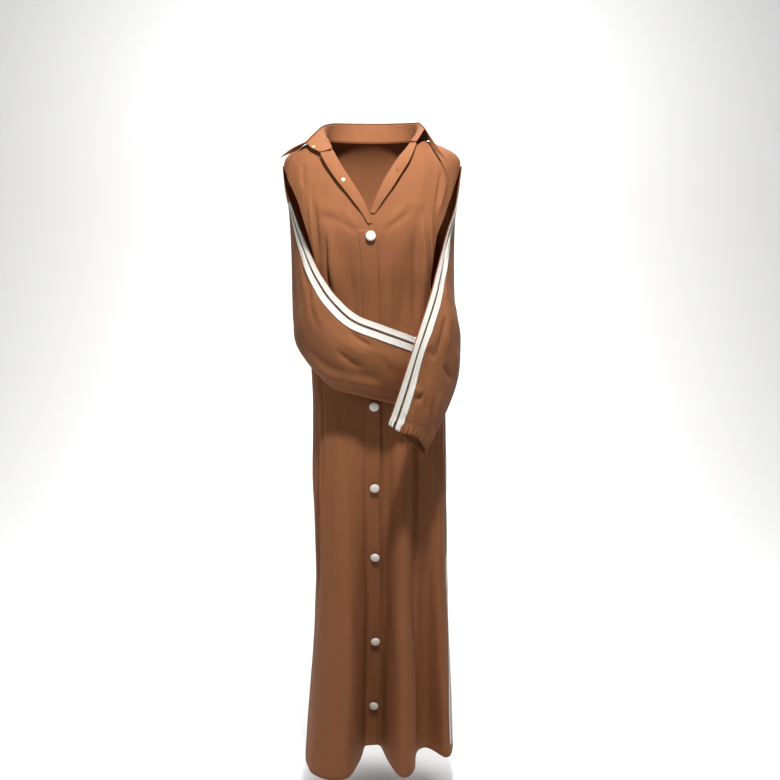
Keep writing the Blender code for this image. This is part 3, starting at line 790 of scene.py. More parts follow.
def thread_group() -> bpy.types.NodeTree:
    """Crossed threads on the piece's own UV map, whose unit is a metre: the height is
    sin(warp) + sin(weft) with a diagonal step, broken by a fine grain.

    Returns:
        The group, with a height and a mask that is high on the threads.
    """
    sizes = {"Threads": 2400.0, "Diagonal": 0.5, "Grain": 0.5}
    nodes, given, end = new_group("crossed_threads", sizes, ("Height", "Thread mask"))
    uv = nodes.add("UVMap", {}, uv_map="cloth").outputs[0]
    split = nodes.add("SeparateXYZ", {0: uv}).outputs
    turn = nodes.math("MULTIPLY", given["Threads"], 2 * math.pi)
    warp, weft = (nodes.math("MULTIPLY", split[axis], turn) for axis in (0, 1))
    slanted = nodes.math("ADD", warp, nodes.math("MULTIPLY", weft, given["Diagonal"]))
    waves = nodes.math("ADD", nodes.math("SINE", slanted), nodes.math("SINE", weft))
    mask = nodes.math("ADD", nodes.math("MULTIPLY", waves, 0.25), 0.5)
    grain = nodes.add("TexNoise", {"Scale": 1500.0, "Detail": 3.0, "Vector": uv}).outputs[0]
    height = nodes.math("ADD", mask, nodes.math("MULTIPLY", grain, given["Grain"]))
    nodes.feed(end, {"Height": height, "Thread mask": mask})
    return nodes.tree


def mottle_group() -> bpy.types.NodeTree:
    """Soft unevenness of dye and nap: two noises in Object coordinates, mixed to one mask.

    Returns:
        The group.
    """
    nodes, given, end = new_group("soft_mottle", {"Size": 4.0, "Contrast": 1.0}, ("Mask",))
    place = nodes.add("TexCoord", {}).outputs["Object"]
    parts = []
    for factor, weight in ((1.0, 0.65), (9.0, 0.35)):
        size = nodes.math("MULTIPLY", given["Size"], factor)
        noise = nodes.add("TexNoise", {"Detail": 4.0, "Vector": place, "Scale": size})
        parts.append(nodes.math("MULTIPLY", noise.outputs[0], weight))
    centred = nodes.math("SUBTRACT", nodes.math("ADD", *parts), 0.5)
    mask = nodes.math("ADD", nodes.math("MULTIPLY", centred, given["Contrast"]), 0.5)
    mask.node.use_clamp = True
    nodes.feed(end, {"Mask": mask})
    return nodes.tree


THREADS = thread_group()
MOTTLE = mottle_group()


@dataclass(frozen=True)
class Finish:
    """A surface finish: two tones mixed by the mottle, painted shade in the gaps between a woven
    finish's threads, and the sockets that stay the same.
    """

    name: str
    light: Point
    dark: Point
    slot: str
    roughness: tuple[float, float] = (0.4, 0.5)
    metallic: float = 0.0
    mottle_size: float = 4.0
    mottle_contrast: float = 1.6
    threads: float = 0.0
    diagonal: float = 0.5
    grain: float = 0.5
    relief: float = 0.00012
    # Painted shade in the gaps between the threads: how much of it at most, and the tone that the
    # colour is multiplied by there.
    gap_shade: float = 0.22
    gap_shade_tone: float = 0.55
    constants: dict[str, object] = field(default_factory=dict)

    def material(self) -> bpy.types.Material:
        """The finish as a node material, made once.

        Returns:
            The material: mottled colour and roughness, and where it is woven a thread relief with
                painted shade that darkens the gaps between the threads.
        """
        found = bpy.data.materials.get(self.name)
        if found:
            return found
        made = bpy.data.materials.new(self.name)
        made.use_nodes = True
        nodes = Nodes(made.node_tree)
        sizes = {"Size": self.mottle_size, "Contrast": self.mottle_contrast}
        mask = height = nodes.add("Group", sizes, node_tree=MOTTLE).outputs["Mask"]
        colour = nodes.mix(mask, (*self.dark, 1.0), (*self.light, 1.0))
        if self.threads:
            sizes = {"Threads": self.threads, "Diagonal": self.diagonal, "Grain": self.grain}
            weave = nodes.add("Group", sizes, node_tree=THREADS).outputs
            # Painted shade: the colour is multiplied darker in the gaps between the threads.
            gap = nodes.stretch(weave["Thread mask"], self.gap_shade, 0.0)
            gap_shade_colour = (*(self.gap_shade_tone * c for c in self.light), 1.0)
            colour, height = nodes.mix(gap, colour, gap_shade_colour, "MULTIPLY"), weave["Height"]
        bump = nodes.add("Bump", {"Distance": self.relief, "Height": height})
        nodes.feed(nodes.tree.nodes["Principled BSDF"], {
            "Base Color": colour, "Roughness": nodes.stretch(mask, *self.roughness),
            "Metallic": self.metallic, "Normal": bump.outputs[0], **self.constants,
        })
        return made


CREPE = Finish(
    "tan_satin_crepe", (0.298, 0.122, 0.056), (0.248, 0.100, 0.046), "tan_crepe",
    roughness=(0.60, 0.70), threads=2200.0, grain=0.7,
    constants={"Sheen Weight": 0.02, "Sheen Roughness": 0.4, "Sheen Tint": (1.0, 0.55, 0.32, 1.0),
               "Specular IOR Level": 0.10, "Specular Tint": (1.0, 0.72, 0.5, 1.0)},
)
TWILL = Finish(
    "white_twill_tape", (0.86, 0.84, 0.80), (0.74, 0.71, 0.66), "white_tape",
    roughness=(0.62, 0.78), threads=1250.0, diagonal=1.0, grain=0.2, relief=0.0002,
    constants={"Sheen Weight": 0.15},
)
STRIP = Finish(
    "dark_strip", (0.030, 0.014, 0.009), (0.016, 0.008, 0.005), "brown_strip",
    roughness=(0.6, 0.8), threads=1400.0, relief=0.0002,
)
STUD = Finish(
    "old_gold_stud", (0.62, 0.43, 0.19), (0.20, 0.12, 0.05), "brown_strip",
    roughness=(0.22, 0.42), metallic=1.0, mottle_size=38.0, mottle_contrast=3.5, relief=0.00005,
)
PEARL = Finish(
    "pearl_white", (0.88, 0.86, 0.83), (0.80, 0.77, 0.73), "pearl_button",
    roughness=(0.16, 0.28), mottle_size=60.0, relief=0.00004,
    constants={"Coat Weight": 0.6, "Coat Roughness": 0.08},
)
GOLD = Finish(
    "gold_stud", (0.72, 0.50, 0.20), (0.50, 0.33, 0.12), "gold_snap",
    roughness=(0.26, 0.42), metallic=1.0, mottle_size=90.0, relief=0.00003,
)
TAN_THREAD = Finish(
    "tan_thread", (0.33, 0.14, 0.066), (0.22, 0.085, 0.038), "tan_crepe",
    roughness=(0.45, 0.6), mottle_size=300.0, mottle_contrast=2.0, relief=0.00005,
    constants={"Sheen Weight": 0.3},
)
WHITE_THREAD = Finish(
    "white_thread", (0.80, 0.78, 0.73), (0.62, 0.59, 0.54), "white_tape",
    roughness=(0.5, 0.65), mottle_size=300.0, mottle_contrast=2.0, relief=0.00005,
)


# Meshes


def placed(name: str, data: bpy.types.ID) -> bpy.types.Object:
    """A new object in the scene.

    Args:
        name: its name.
        data: its mesh, light or camera.

    Returns:
        The object.
    """
    made = bpy.data.objects.new(name, data)
    bpy.context.scene.collection.objects.link(made)
    return made


def new_piece(name: str, mesh: bpy.types.Mesh, finish: Finish,
              replaces: str = "") -> bpy.types.Object:
    """Links a mesh as a piece that rides on the garment's one body.

    Args:
        name: the piece's name.
        mesh: its mesh, in place.
        finish: its finish.
        replaces: the solid that it stands for.

    Returns:
        The piece's object, at the origin.
    """
    mesh.materials.append(finish.material())
    mesh.shade_smooth()
    piece = placed(name, mesh)
    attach(piece, "root")
    if replaces:
        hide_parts(replaces)
    LOG.info("%s: %d faces", name, len(mesh.polygons))
    return piece


def grid_mesh(name: str, grid: Array, closed: bool = False) -> bpy.types.Mesh:
    """A mesh of quadrilaterals over a grid of points, with a UV map in metres.

    Args:
        name: the mesh's name.
        grid: rows by columns of points.
        closed: whether the last column joins the first one.

    Returns:
        The mesh.
    """
    rows, columns = grid.shape[:2]
    index = np.arange(rows * columns).reshape(rows, columns)
    if closed:
        index = np.hstack([index, index[:, :1]])
    corners = np.stack([index[:-1, :-1], index[1:, :-1], index[1:, 1:], index[:-1, 1:]], -1)
    corners = corners.reshape(-1, 4)
    mesh = bpy.data.meshes.new(name)
    mesh.vertices.add(rows * columns)
    mesh.vertices.foreach_set("co", grid.astype(np.float32).ravel())
    mesh.loops.add(corners.size)
    mesh.loops.foreach_set("vertex_index", corners.astype(np.int32).ravel())
    mesh.polygons.add(len(corners))
    mesh.polygons.foreach_set("loop_start", np.arange(0, corners.size, 4, dtype=np.int32))
    mesh.update(calc_edges=True)
    uv = np.stack([run_length(grid, 1), run_length(grid, 0)], -1).reshape(-1, 2)
    layer = mesh.uv_layers.new(name="cloth")
    layer.uv.foreach_set("vector", uv[corners.ravel()].astype(np.float32).ravel())
    mesh.validate()
    return mesh


def add_wall(piece: bpy.types.Object, thickness: float) -> None:
    """Gives a sheet its thickness, evenly to both sides.

    Args:
        piece: the sheet.
        thickness: metres.
    """
    solid = piece.modifiers.new("Wall", "SOLIDIFY")
    solid.thickness = thickness
    solid.offset = 0.0


def cloth(name: str, grid: Array, wall: float, finish: Finish,
          replaces: str, mates: tuple = ()) -> None:
    """A sheet of cloth on a grid of points, with its wall. Its longest row and column are measured
    but not used.

    Args:
        name: the piece's name.
        grid: rows by columns of points of its middle surface.
        wall: thickness.
        finish: its finish.
        replaces: the solid that it stands for.
        mates: narrow pieces that go with it; not used.
    """
    piece = new_piece(name, grid_mesh(name, grid), finish, replaces)
    add_wall(piece, wall)
    flat = tuple(float(run_length(grid, axis).max()) for axis in (1, 0))
    list(mates)


def scatter(name: str, shape: tuple[Array, Array], places: tuple[Array, Array],
            finish: Finish) -> None:
    """One piece of many copies of a small shape, worked out as whole arrays.

    Args:
        name: the piece's name.
        shape: its points along its own three directions, and its triangles.
        places: where each copy stands, and its three directions there as rows.
        finish: its finish.
    """
    (points, faces), (middles, frames) = shape, places
    spots = middles[:, None, :] + np.einsum("pk,nkj->npj", points, frames)
    starts = (np.arange(len(middles)) * len(points))[:, None, None]
    mesh = bpy.data.meshes.new(name)
    mesh.from_pydata(spots.reshape(-1, 3).tolist(), [], (faces + starts).reshape(-1, 3).tolist())
    mesh.validate()
    new_piece(name, mesh, finish)


def bands(starts: tuple[int, ...], sides: int) -> Array:
    """Triangles from each ring of points that starts at these indices to the next ring.

    Args:
        starts: index of each lower ring's first point.
        sides: points in a ring.

    Returns:
        The triangles as rows of indices.
    """
    low = np.array(starts)[:, None]
    j = low + np.arange(sides)
    k = low + (np.arange(sides) + 1) % sides
    return np.stack([j, k, k + sides, j, k + sides, j + sides], -1).reshape(-1, 3)


def turned(name: str, profile: Array, foot: Array, axis: Array, finish: Finish, replaces: str,
           segments: int) -> None:
    """A turned piece: a smooth profile of radius and height carried once round its axis.

    Args:
        name: the piece's name.
        profile: rows of radius and height from the foot to the top, both ends on the axis.
        foot: where it stands.
        axis: which way it points.
        finish: its finish.
        replaces: the solid that it stands for.
        segments: steps round.
    """
    knots = run_length(profile, 0)
    fine = through(knots, profile, np.linspace(0, knots[-1], 4 * len(profile)))
    turn = np.linspace(0, 2 * np.pi, segments, endpoint=False)
    radius, height = np.maximum(fine[:, :1], 1e-6), fine[:, 1:]
    local = np.stack(np.broadcast_arrays(radius * np.cos(turn), radius * np.sin(turn), height), -1)
    matrix = np.array(Vector(axis).to_track_quat("Z", "Y").to_matrix())
    grid = local @ matrix.T + np.asarray(foot)
    new_piece(name, grid_mesh(name, grid[::-1], closed=True), finish, replaces)


@dataclass(frozen=True)
class Trail:
    """A line on the cloth with the cloth's normal at each point."""

    points: Array
    normals: Array

    @classmethod
    def on_grid(cls, grid: Array, column: float, normals: Array, lift: float) -> "Trail":
        """The line down a fractional column of a grid, moved off it by the lift.

        Args:
            grid: a grid of points.
            column: which column, with a share of the next.
            normals: the grid's normals.
            lift: metres off the grid.

        Returns:
            The line.
        """
        at = min(int(column), grid.shape[1] - 2)
        share = column - at
        points, normal = (part[:, at] * (1 - share) + part[:, at + 1] * share
                          for part in (grid, normals))
        normal = unit(normal)
        return cls(points + normal * lift, normal)

    def frames(self, pitch: float, seed: int = 0, jitter: float = 0.0) -> tuple[Array, Array]:
        """Places every pitch along the line, each with its directions along, across and out.

        Args:
            pitch: distance between places.
            seed: seed of the unevenness.
            jitter: share of the pitch by which places wander.

        Returns:
            Middles, and frames of three directions.
        """
        along = run_length(self.points, 0)
        count = max(2, int(along[-1] / pitch))
        at = (np.arange(count) + 0.5) * along[-1] / count
        at = at + np.random.default_rng(seed).uniform(-jitter, jitter, count) * pitch

        def pick(values: Array, where: Array) -> Array:
            """Rows at these distances along the line."""
            return np.stack([np.interp(where, along, values[:, k]) for k in range(3)], -1)

        run = unit(pick(self.points, at + pitch / 2) - pick(self.points, at - pitch / 2))
        across = unit(np.cross(pick(self.normals, at), run))
        return pick(self.points, at), np.stack([run, across, np.cross(run, across)], 1)


@dataclass(frozen=True)
class Thread:
    """A sewing stitch: a short spindle of thread, and the space from one to the next."""

    length: float = 0.0024
    pitch: float = 0.0031
    radius: float = 0.00022
    jitter: float = 0.08

    def shape(self) -> tuple[Array, Array]:
        """Two rings of four points between two ends, and their triangles."""
        ring = np.array([[0, 1, 0], [0, 0, 1], [0, -1, 0], [0, 0, -1]]) * self.radius
        stops = [np.array([[s * self.length, 0, 0]]) for s in (-0.5, -0.3, 0.3, 0.5)]
        points = np.vstack([stops[0], ring + stops[1], ring + stops[2], stops[3]])
        j = np.arange(4)
        k = (j + 1) % 4
        ends = [np.stack([0 * j, 1 + k, 1 + j], -1), np.stack([9 + 0 * j, 5 + j, 5 + k], -1)]
        return points, np.vstack([bands((1,), 4), *ends])

    def sew(self, name: str, trails: list[Trail], finish: Finish) -> None:
        """Sets all the stitches along some lines as one piece.

        Args:
            name: the piece's name.
            trails: the lines.
            finish: the thread's finish.
        """
        rows = [trail.frames(self.pitch, seed, self.jitter) for seed, trail in enumerate(trails)]
        scatter(name, self.shape(), tuple(np.concatenate(part) for part in zip(*rows)), finish)


@dataclass(frozen=True)
class StudRow:
    """The row of tiny gold studs down a dark strip, with a stitched rung between each two."""

    pitch: float = 0.0078
    radius: float = 0.0012
    height: float = 0.0009
    rung: Point = (0.0009, 0.0036, 0.0003)

    def dome(self, sides: int = 10) -> tuple[Array, Array]:
        """A stud: rings whose radius and height follow a quarter circle, closed by a tip.

        Args:
            sides: points in a ring.

        Returns:
            Its points and triangles.
        """
        lift = np.array([[0.0], [0.35], [0.65], [0.88]]) * np.pi / 2
        turn = np.arange(sides) * 2 * np.pi / sides
        radius, height = self.radius * np.cos(lift), self.height * np.sin(lift)
        rings = np.stack(np.broadcast_arrays(
            radius * np.cos(turn), radius * np.sin(turn), height), -1)
        j = 3 * sides + np.arange(sides)
        k = 3 * sides + (np.arange(sides) + 1) % sides
        tip = np.stack([j, k, np.full(sides, 4 * sides)], -1)
        points = np.vstack([rings.reshape(-1, 3), [[0, 0, self.height]]])
        return points, np.vstack([bands((0, sides, 2 * sides), sides), tip])

    def bar(self) -> tuple[Array, Array]:
        """A rung: a low bar across the strip with a narrower top."""
        square = ((-1, -1), (1, -1), (1, 1), (-1, 1))
        levels = ((0.5, 0.0), (0.5, 0.6), (0.25, 1.0))
        points = np.array([(a * w, b * w, z) for w, z in levels for a, b in square]) * self.rung
        return points, np.vstack([bands((0, 4), 4), [(8, 9, 10), (8, 10, 11)]])

    def build(self, name: str, trail: Trail, gold_share: float = 0.0) -> None:
        """Sets the studs and the rungs along a line.

        Args:
            name: the row's name.
            trail: the middle line of the strip's face.
            gold_share: how much of the line has gold rungs, from its top.
        """
        middles, frames = trail.frames(self.pitch / 2)
        at = np.arange(len(middles))
        is_rung = at % 2 == 1
        is_gold = at < gold_share * len(middles)
        for chosen, word, shape, finish in (
            (~is_rung, "_studs", self.dome(), STUD),
            (is_rung & is_gold, "_bars", self.bar(), STUD),
            (is_rung & ~is_gold, "_rungs", self.bar(), TAN_THREAD),
        ):
            if chosen.any():
                scatter(name + word, shape, (middles[chosen], frames[chosen]), finish)


# The garment


@dataclass
class Fronts:
    """Both fronts, the placket, the turned-out lapels and the stitching on them."""

    wall: float = 0.0010
    facing: float = 0.0009
    seam_gap: float = 0.00012
    placket_width: float = 0.027
    placket_stitches: tuple[float, float] = (0.7, 11.3)
    pucker: float = 0.00012
    pucker_pitch: float = 0.013
    underlap: float = 0.0030
    underlap_angle: float = 18.0
    underlap_turn: float = 12.0
    underlap_drop: float = 0.128
    underlap_reach: float = 0.030
    facing_lift: float = 0.0018
    strip_wall: float = 0.0005
    strip_seat: float = 0.00045
    strip_top: float = 0.013
    strip_end: float = 0.0012
    strip_columns: int = 13
    press_start: float = 0.45
    sink: float = 0.0007
    sink_reach: float = 0.02
    first_angle: float = 6.0
    columns: int = 115
    placket_rows: int = 260
    lapel_size: tuple[int, int] = (110, 24)
    armhole_rows: tuple[int, int] = (30, 101)
    armhole_inset: float = 3.2
    lapel_stitch: float = 20.6
    lapel_slope: float = 0.25
    lapel_wave: float = 0.0007
    wave_pitch: float = 0.046

    def point(self, angle: Array, drop: Array, side: Side, lift: Array = 0.0) -> Array:
        """A point of a front. The left one sinks under the right one near the middle.

        Args:
            angle: degrees from the middle front towards the side.
            drop: metres below the neck point.
            side: which side of the garment.
            lift: metres off the cloth.

        Returns:
            The points, in the last axis.
        """
        angle, drop = np.broadcast_arrays(np.asarray(angle, float), np.asarray(drop, float))
        if side is Side.LEFT:
            near = smooth_step((self.underlap_angle - angle) / self.underlap_turn)
            under = smooth_step((drop - self.underlap_drop) / self.underlap_reach)
            lift = lift - self.underlap * near * under
        return BODY.point(side.value * angle, drop, lift)

    def strip_angles(self, drops: Array, side: Side) -> Array:
        """Angles across the strip beside a front's edge."""
        width = BODY.degrees(self.placket_width, drops)
        return BODY.neckline(drops, side) + width * np.linspace(0, 1, self.strip_columns)

    def grid(self, side: Side) -> Array:
        """A front: rows from the neck to the hem, columns from its edge to the side. The right
        one sinks a little where the buttoned strip lies on it.

        Args:
            side: which side of the garment.

        Returns:
            The grid of points.
        """
        drops = BODY.drops()
        strip = self.strip_angles(drops, side)
        end = BODY.outer_edge(drops, side.pick(1, 2)) - BODY.degrees(self.seam_gap / 2, drops)
        end = end - BODY.swing(drops, side)
        first, last = self.first_angle * side.value, 90 * side.value
        shares = BODY.even_shares(first, last, self.columns + 1)[1:]
        rest = strip[:, -1:] + (end - strip[:, -1:]) * shares
        covered = (side is Side.RIGHT) * smooth_step((drops - BUTTONS[0, 0]) / self.sink_reach)
        across = np.arange(self.strip_columns + self.columns)
        sunk = -self.sink * covered * smooth_step((self.strip_columns + 0.5 - across) / 2.0)
        return self.point(np.hstack([strip, rest]), drops, side, sunk)

    def placket_grid(self) -> Array:
        """The stitched strip: the right front's own points, moved out, its edges pressed."""
        first, last = BUTTONS[0, 0] - self.strip_top, BODY.length - self.strip_end
        drops = np.linspace(first, last, self.placket_rows)[:, None]
        share = np.linspace(0, 1, self.strip_columns)
        pucker = self.pucker * np.sin(drops * 2 * np.pi / self.pucker_pitch) * share**3
        pressed = smooth_step((share - self.press_start) / (1 - self.press_start))
        settle = (self.facing_lift - self.strip_seat) * pressed
        angles = self.strip_angles(drops, Side.RIGHT)
        return self.point(angles, drops, Side.RIGHT, self.facing_lift + pucker - settle)

    def lapel_point(self, side: Side, drop: Array, share: Array) -> Array:
        """A point of a lapel. Its height is a quarter sine from the facing's lift to the
        edge's own height.

        Args:
            side: which lapel.
            drop: metres below the neck point along the roll line.
            share: 0 on the roll line, 1 on the free edge.

        Returns:
            The points.
        """
        rows = side.pick(RIGHT_LAPEL, LEFT_LAPEL)
        drop, share = np.broadcast_arrays(np.asarray(drop, float), np.asarray(share, float))
        width, height = np.moveaxis(through(rows[:, 0], rows[:, 1:], drop), -1, 0)
        lower = drop + self.lapel_slope * width * share
        wave = self.lapel_wave * np.sin(drop * 2 * np.pi / self.wave_pitch + 1.0) * share**2
        lift = self.facing_lift + (height - self.facing_lift) * np.sin(share * np.pi / 2) + wave
        angle = BODY.neckline(lower, side) + BODY.degrees(width, lower) * share
        return self.point(angle, lower, side, lift)

    def lapel_grid(self, side: Side) -> Array:
        """A lapel as rows down the roll line and columns across it.

        Args:
            side: which side of the garment.

        Returns:
            The grid of points.
        """
        ends = side.pick(RIGHT_LAPEL, LEFT_LAPEL)[[0, -1], 0]
        drops, shares = (np.linspace(*span, count)
                         for span, count in zip((ends, (0, 1)), self.lapel_size))
        return self.lapel_point(side, drops[:, None], shares)

    def build(self) -> None:
        """Builds the fronts, the placket and the lapels with their stitching."""
        trails = []
        for side in Side:
            front, lapel = "front_" + side.word, "lapel_" + side.word
            grid = self.grid(side)
            cloth(front + "_crepe", grid, self.wall, CREPE, front)
            column = grid.shape[1] - self.armhole_inset
            trails.append(self.stitches(grid, column, self.wall, slice(*self.armhole_rows)))
            grid = self.lapel_grid(side)
            cloth(lapel + "_crepe", grid, self.facing, CREPE, lapel)
            trails.append(self.stitches(grid, self.lapel_stitch, self.facing))
        grid = self.placket_grid()
        cloth("placket_crepe", grid, self.strip_wall, CREPE,
              "placket")
        trails += [self.stitches(grid, at, self.strip_wall) for at in self.placket_stitches]
        Thread().sew("front_stitching", trails, TAN_THREAD)

    def stitches(self, grid: Array, column: float, wall: float,
                 rows: slice = slice(None)) -> Trail:
        """The line of stitches down some rows of a column, on the face of a wall."""
        return Trail.on_grid(grid[rows], column, self.outward(grid)[rows], wall / 2)

    @staticmethod
    def outward(grid: Array) -> Array:
        """Normals of a front piece, turned to face forwards.

        Args:
            grid: its points.

        Returns:
            The normals.
        """
        normals = grid_normals(grid)
        if normals[..., 1].mean() >= 0:
            return -normals
        return normals * np.where(normals[..., 1:2] > 0.2, -1, 1)


@dataclass
class BackPanel:
    """The back, cut in one piece, and the hem's stitching all round."""

    wall: float = 0.0010
    seam_gap: float = 0.00012
    columns: int = 226
    hem_depth: float = 0.012
    hem_angles: tuple[float, float, int] = (8, 348, 900)

    def grid(self) -> Array:
        """Rows from the neck to the hem, columns from the left side round to the right."""
        drops = BODY.drops()
        reach = BODY.outer_edge(drops, 3) - BODY.degrees(self.seam_gap / 2, drops)
        start = 180 - reach - BODY.swing(drops, Side.LEFT)
        shares = BODY.even_shares(90, 270, self.columns)
        return BODY.point(start + (180 + reach - start) * shares, drops)

    def build(self) -> None:
        """Builds the back and sews the hem."""
        cloth("back_crepe", self.grid(), self.wall, CREPE, "back")
        angles = np.linspace(*self.hem_angles)
        drop = BODY.length - self.hem_depth
        normals = BODY.normal(angles, drop)
        line = BODY.point(angles, drop) + normals * self.wall / 2
        Thread().sew("hem_stitching", [Trail(line, normals)], TAN_THREAD)


@dataclass
class Collar:
    """The stand, the leaf that falls over it, and their stitching."""

    fronts: Fronts
    wall: float = 0.0012
    seat: float = 0.0028
    lapel_seat: float = 0.0024
    fall: float = 0.0025
    end_trim: float = 0.30
    trim_start: float = 0.55
    wave_height: float = 0.0011
    waves: float = 5.3
    edge_stitch: float = 26.6
    end_stitch: float = 3.0

    def feet(self) -> Array:
        """Where the stand meets the lapels, the fronts and the back, at each row of the table.

        Returns:
            One point for each row.
        """
        found = []
        for sign, share, drop, angle in COLLAR[:, :4]:
            owner = Side.RIGHT if sign < 0 else Side.LEFT
            if share:
                foot = self.fronts.lapel_point(owner, drop, share) + (0, 0, self.lapel_seat)
            else:
                turn = sign * BODY.neckline(drop, owner) if sign else 180.0 + angle
                foot = BODY.point(turn, max(drop, 0.001), self.seat)
            found.append(foot.reshape(3))
        return np.array(found)

    def along(self, values: Array, columns: int, share: float) -> Array:
        """Values along the collar, each end pulled in by a share of the trim.

        Args:
            values: one row for each row of the table.
            columns: how many points along it.
            share: how much of the trim.

        Returns:
            The values at those points.
        """
        knots = np.arange(len(values), dtype=float)
        trim = self.end_trim * share
        return through(knots, values, trim + (knots[-1] - 2 * trim) * np.linspace(0, 1, columns))

    def stand_grid(self, columns: int = 220, across: int = 16) -> Array:
        """The stand: straight from foot to head, its ends drawn in near the head.

        Args:
            columns: how many points along it.
            across: how many points from the inner edge to the outer one.

        Returns:
            The grid of points.
        """
        feet = self.feet()
        rise = COLLAR[:, 4:7] - feet
        shares = np.linspace(0, 1, across)
        drawn_in = smooth_step((shares - self.trim_start) / (1 - self.trim_start))
        return np.stack([self.along(feet + rise * share, columns, drawn)
                         for share, drawn in zip(shares, drawn_in)], 1)

    def leaf_grid(self, columns: int = 240, across: int = 30) -> Array:
        """The leaf: from the fold at the stand's head to its pointed edge, lifted by
        arch * sin(pi s), with soft waves that grow towards the edge.

        Args:
            columns: how many points along it.
            across: how many points from the inner edge to the outer one.

        Returns:
            The grid of points.
        """
        heads, leaves, arch = COLLAR[:, 4:7], COLLAR[:, 7:10], COLLAR[:, 10]
        t = np.linspace(0, 1, columns)
        wave = self.wave_height * np.sin(t * 2 * np.pi * self.waves + 0.6) * np.sin(np.pi * t)
        rows = []
        for share in np.linspace(0, 1, across):
            line = heads + (leaves - heads) * share
            line[:, 2] += self.fall + arch * np.sin(np.pi * share)
            rows.append(self.along(line, columns, 1 - share))
            rows[-1][:, 2] += wave * share**2
        return np.stack(rows, 1)

    def build(self) -> None:
        """Builds the stand and the leaf with their stitching."""
        leaf = self.leaf_grid()
        cloth("collar_stand_crepe", self.stand_grid(), self.wall, CREPE,
              "collar_stand")
        cloth("collar_leaf_crepe", leaf, self.wall, CREPE,
              "collar_leaf")
        normals = grid_normals(leaf)
        normals *= np.sign(normals[..., 2:3])
        trails = [Trail.on_grid(leaf, self.edge_stitch, normals, self.wall / 2)]
        edge, turned_normals = np.swapaxes(leaf, 0, 1), np.swapaxes(normals, 0, 1)
        for column in (self.end_stitch, len(leaf) - 1 - self.end_stitch):
            trails.append(Trail.on_grid(edge, column, turned_normals, self.wall / 2))
        Thread().sew("collar_stitching", trails, TAN_THREAD)


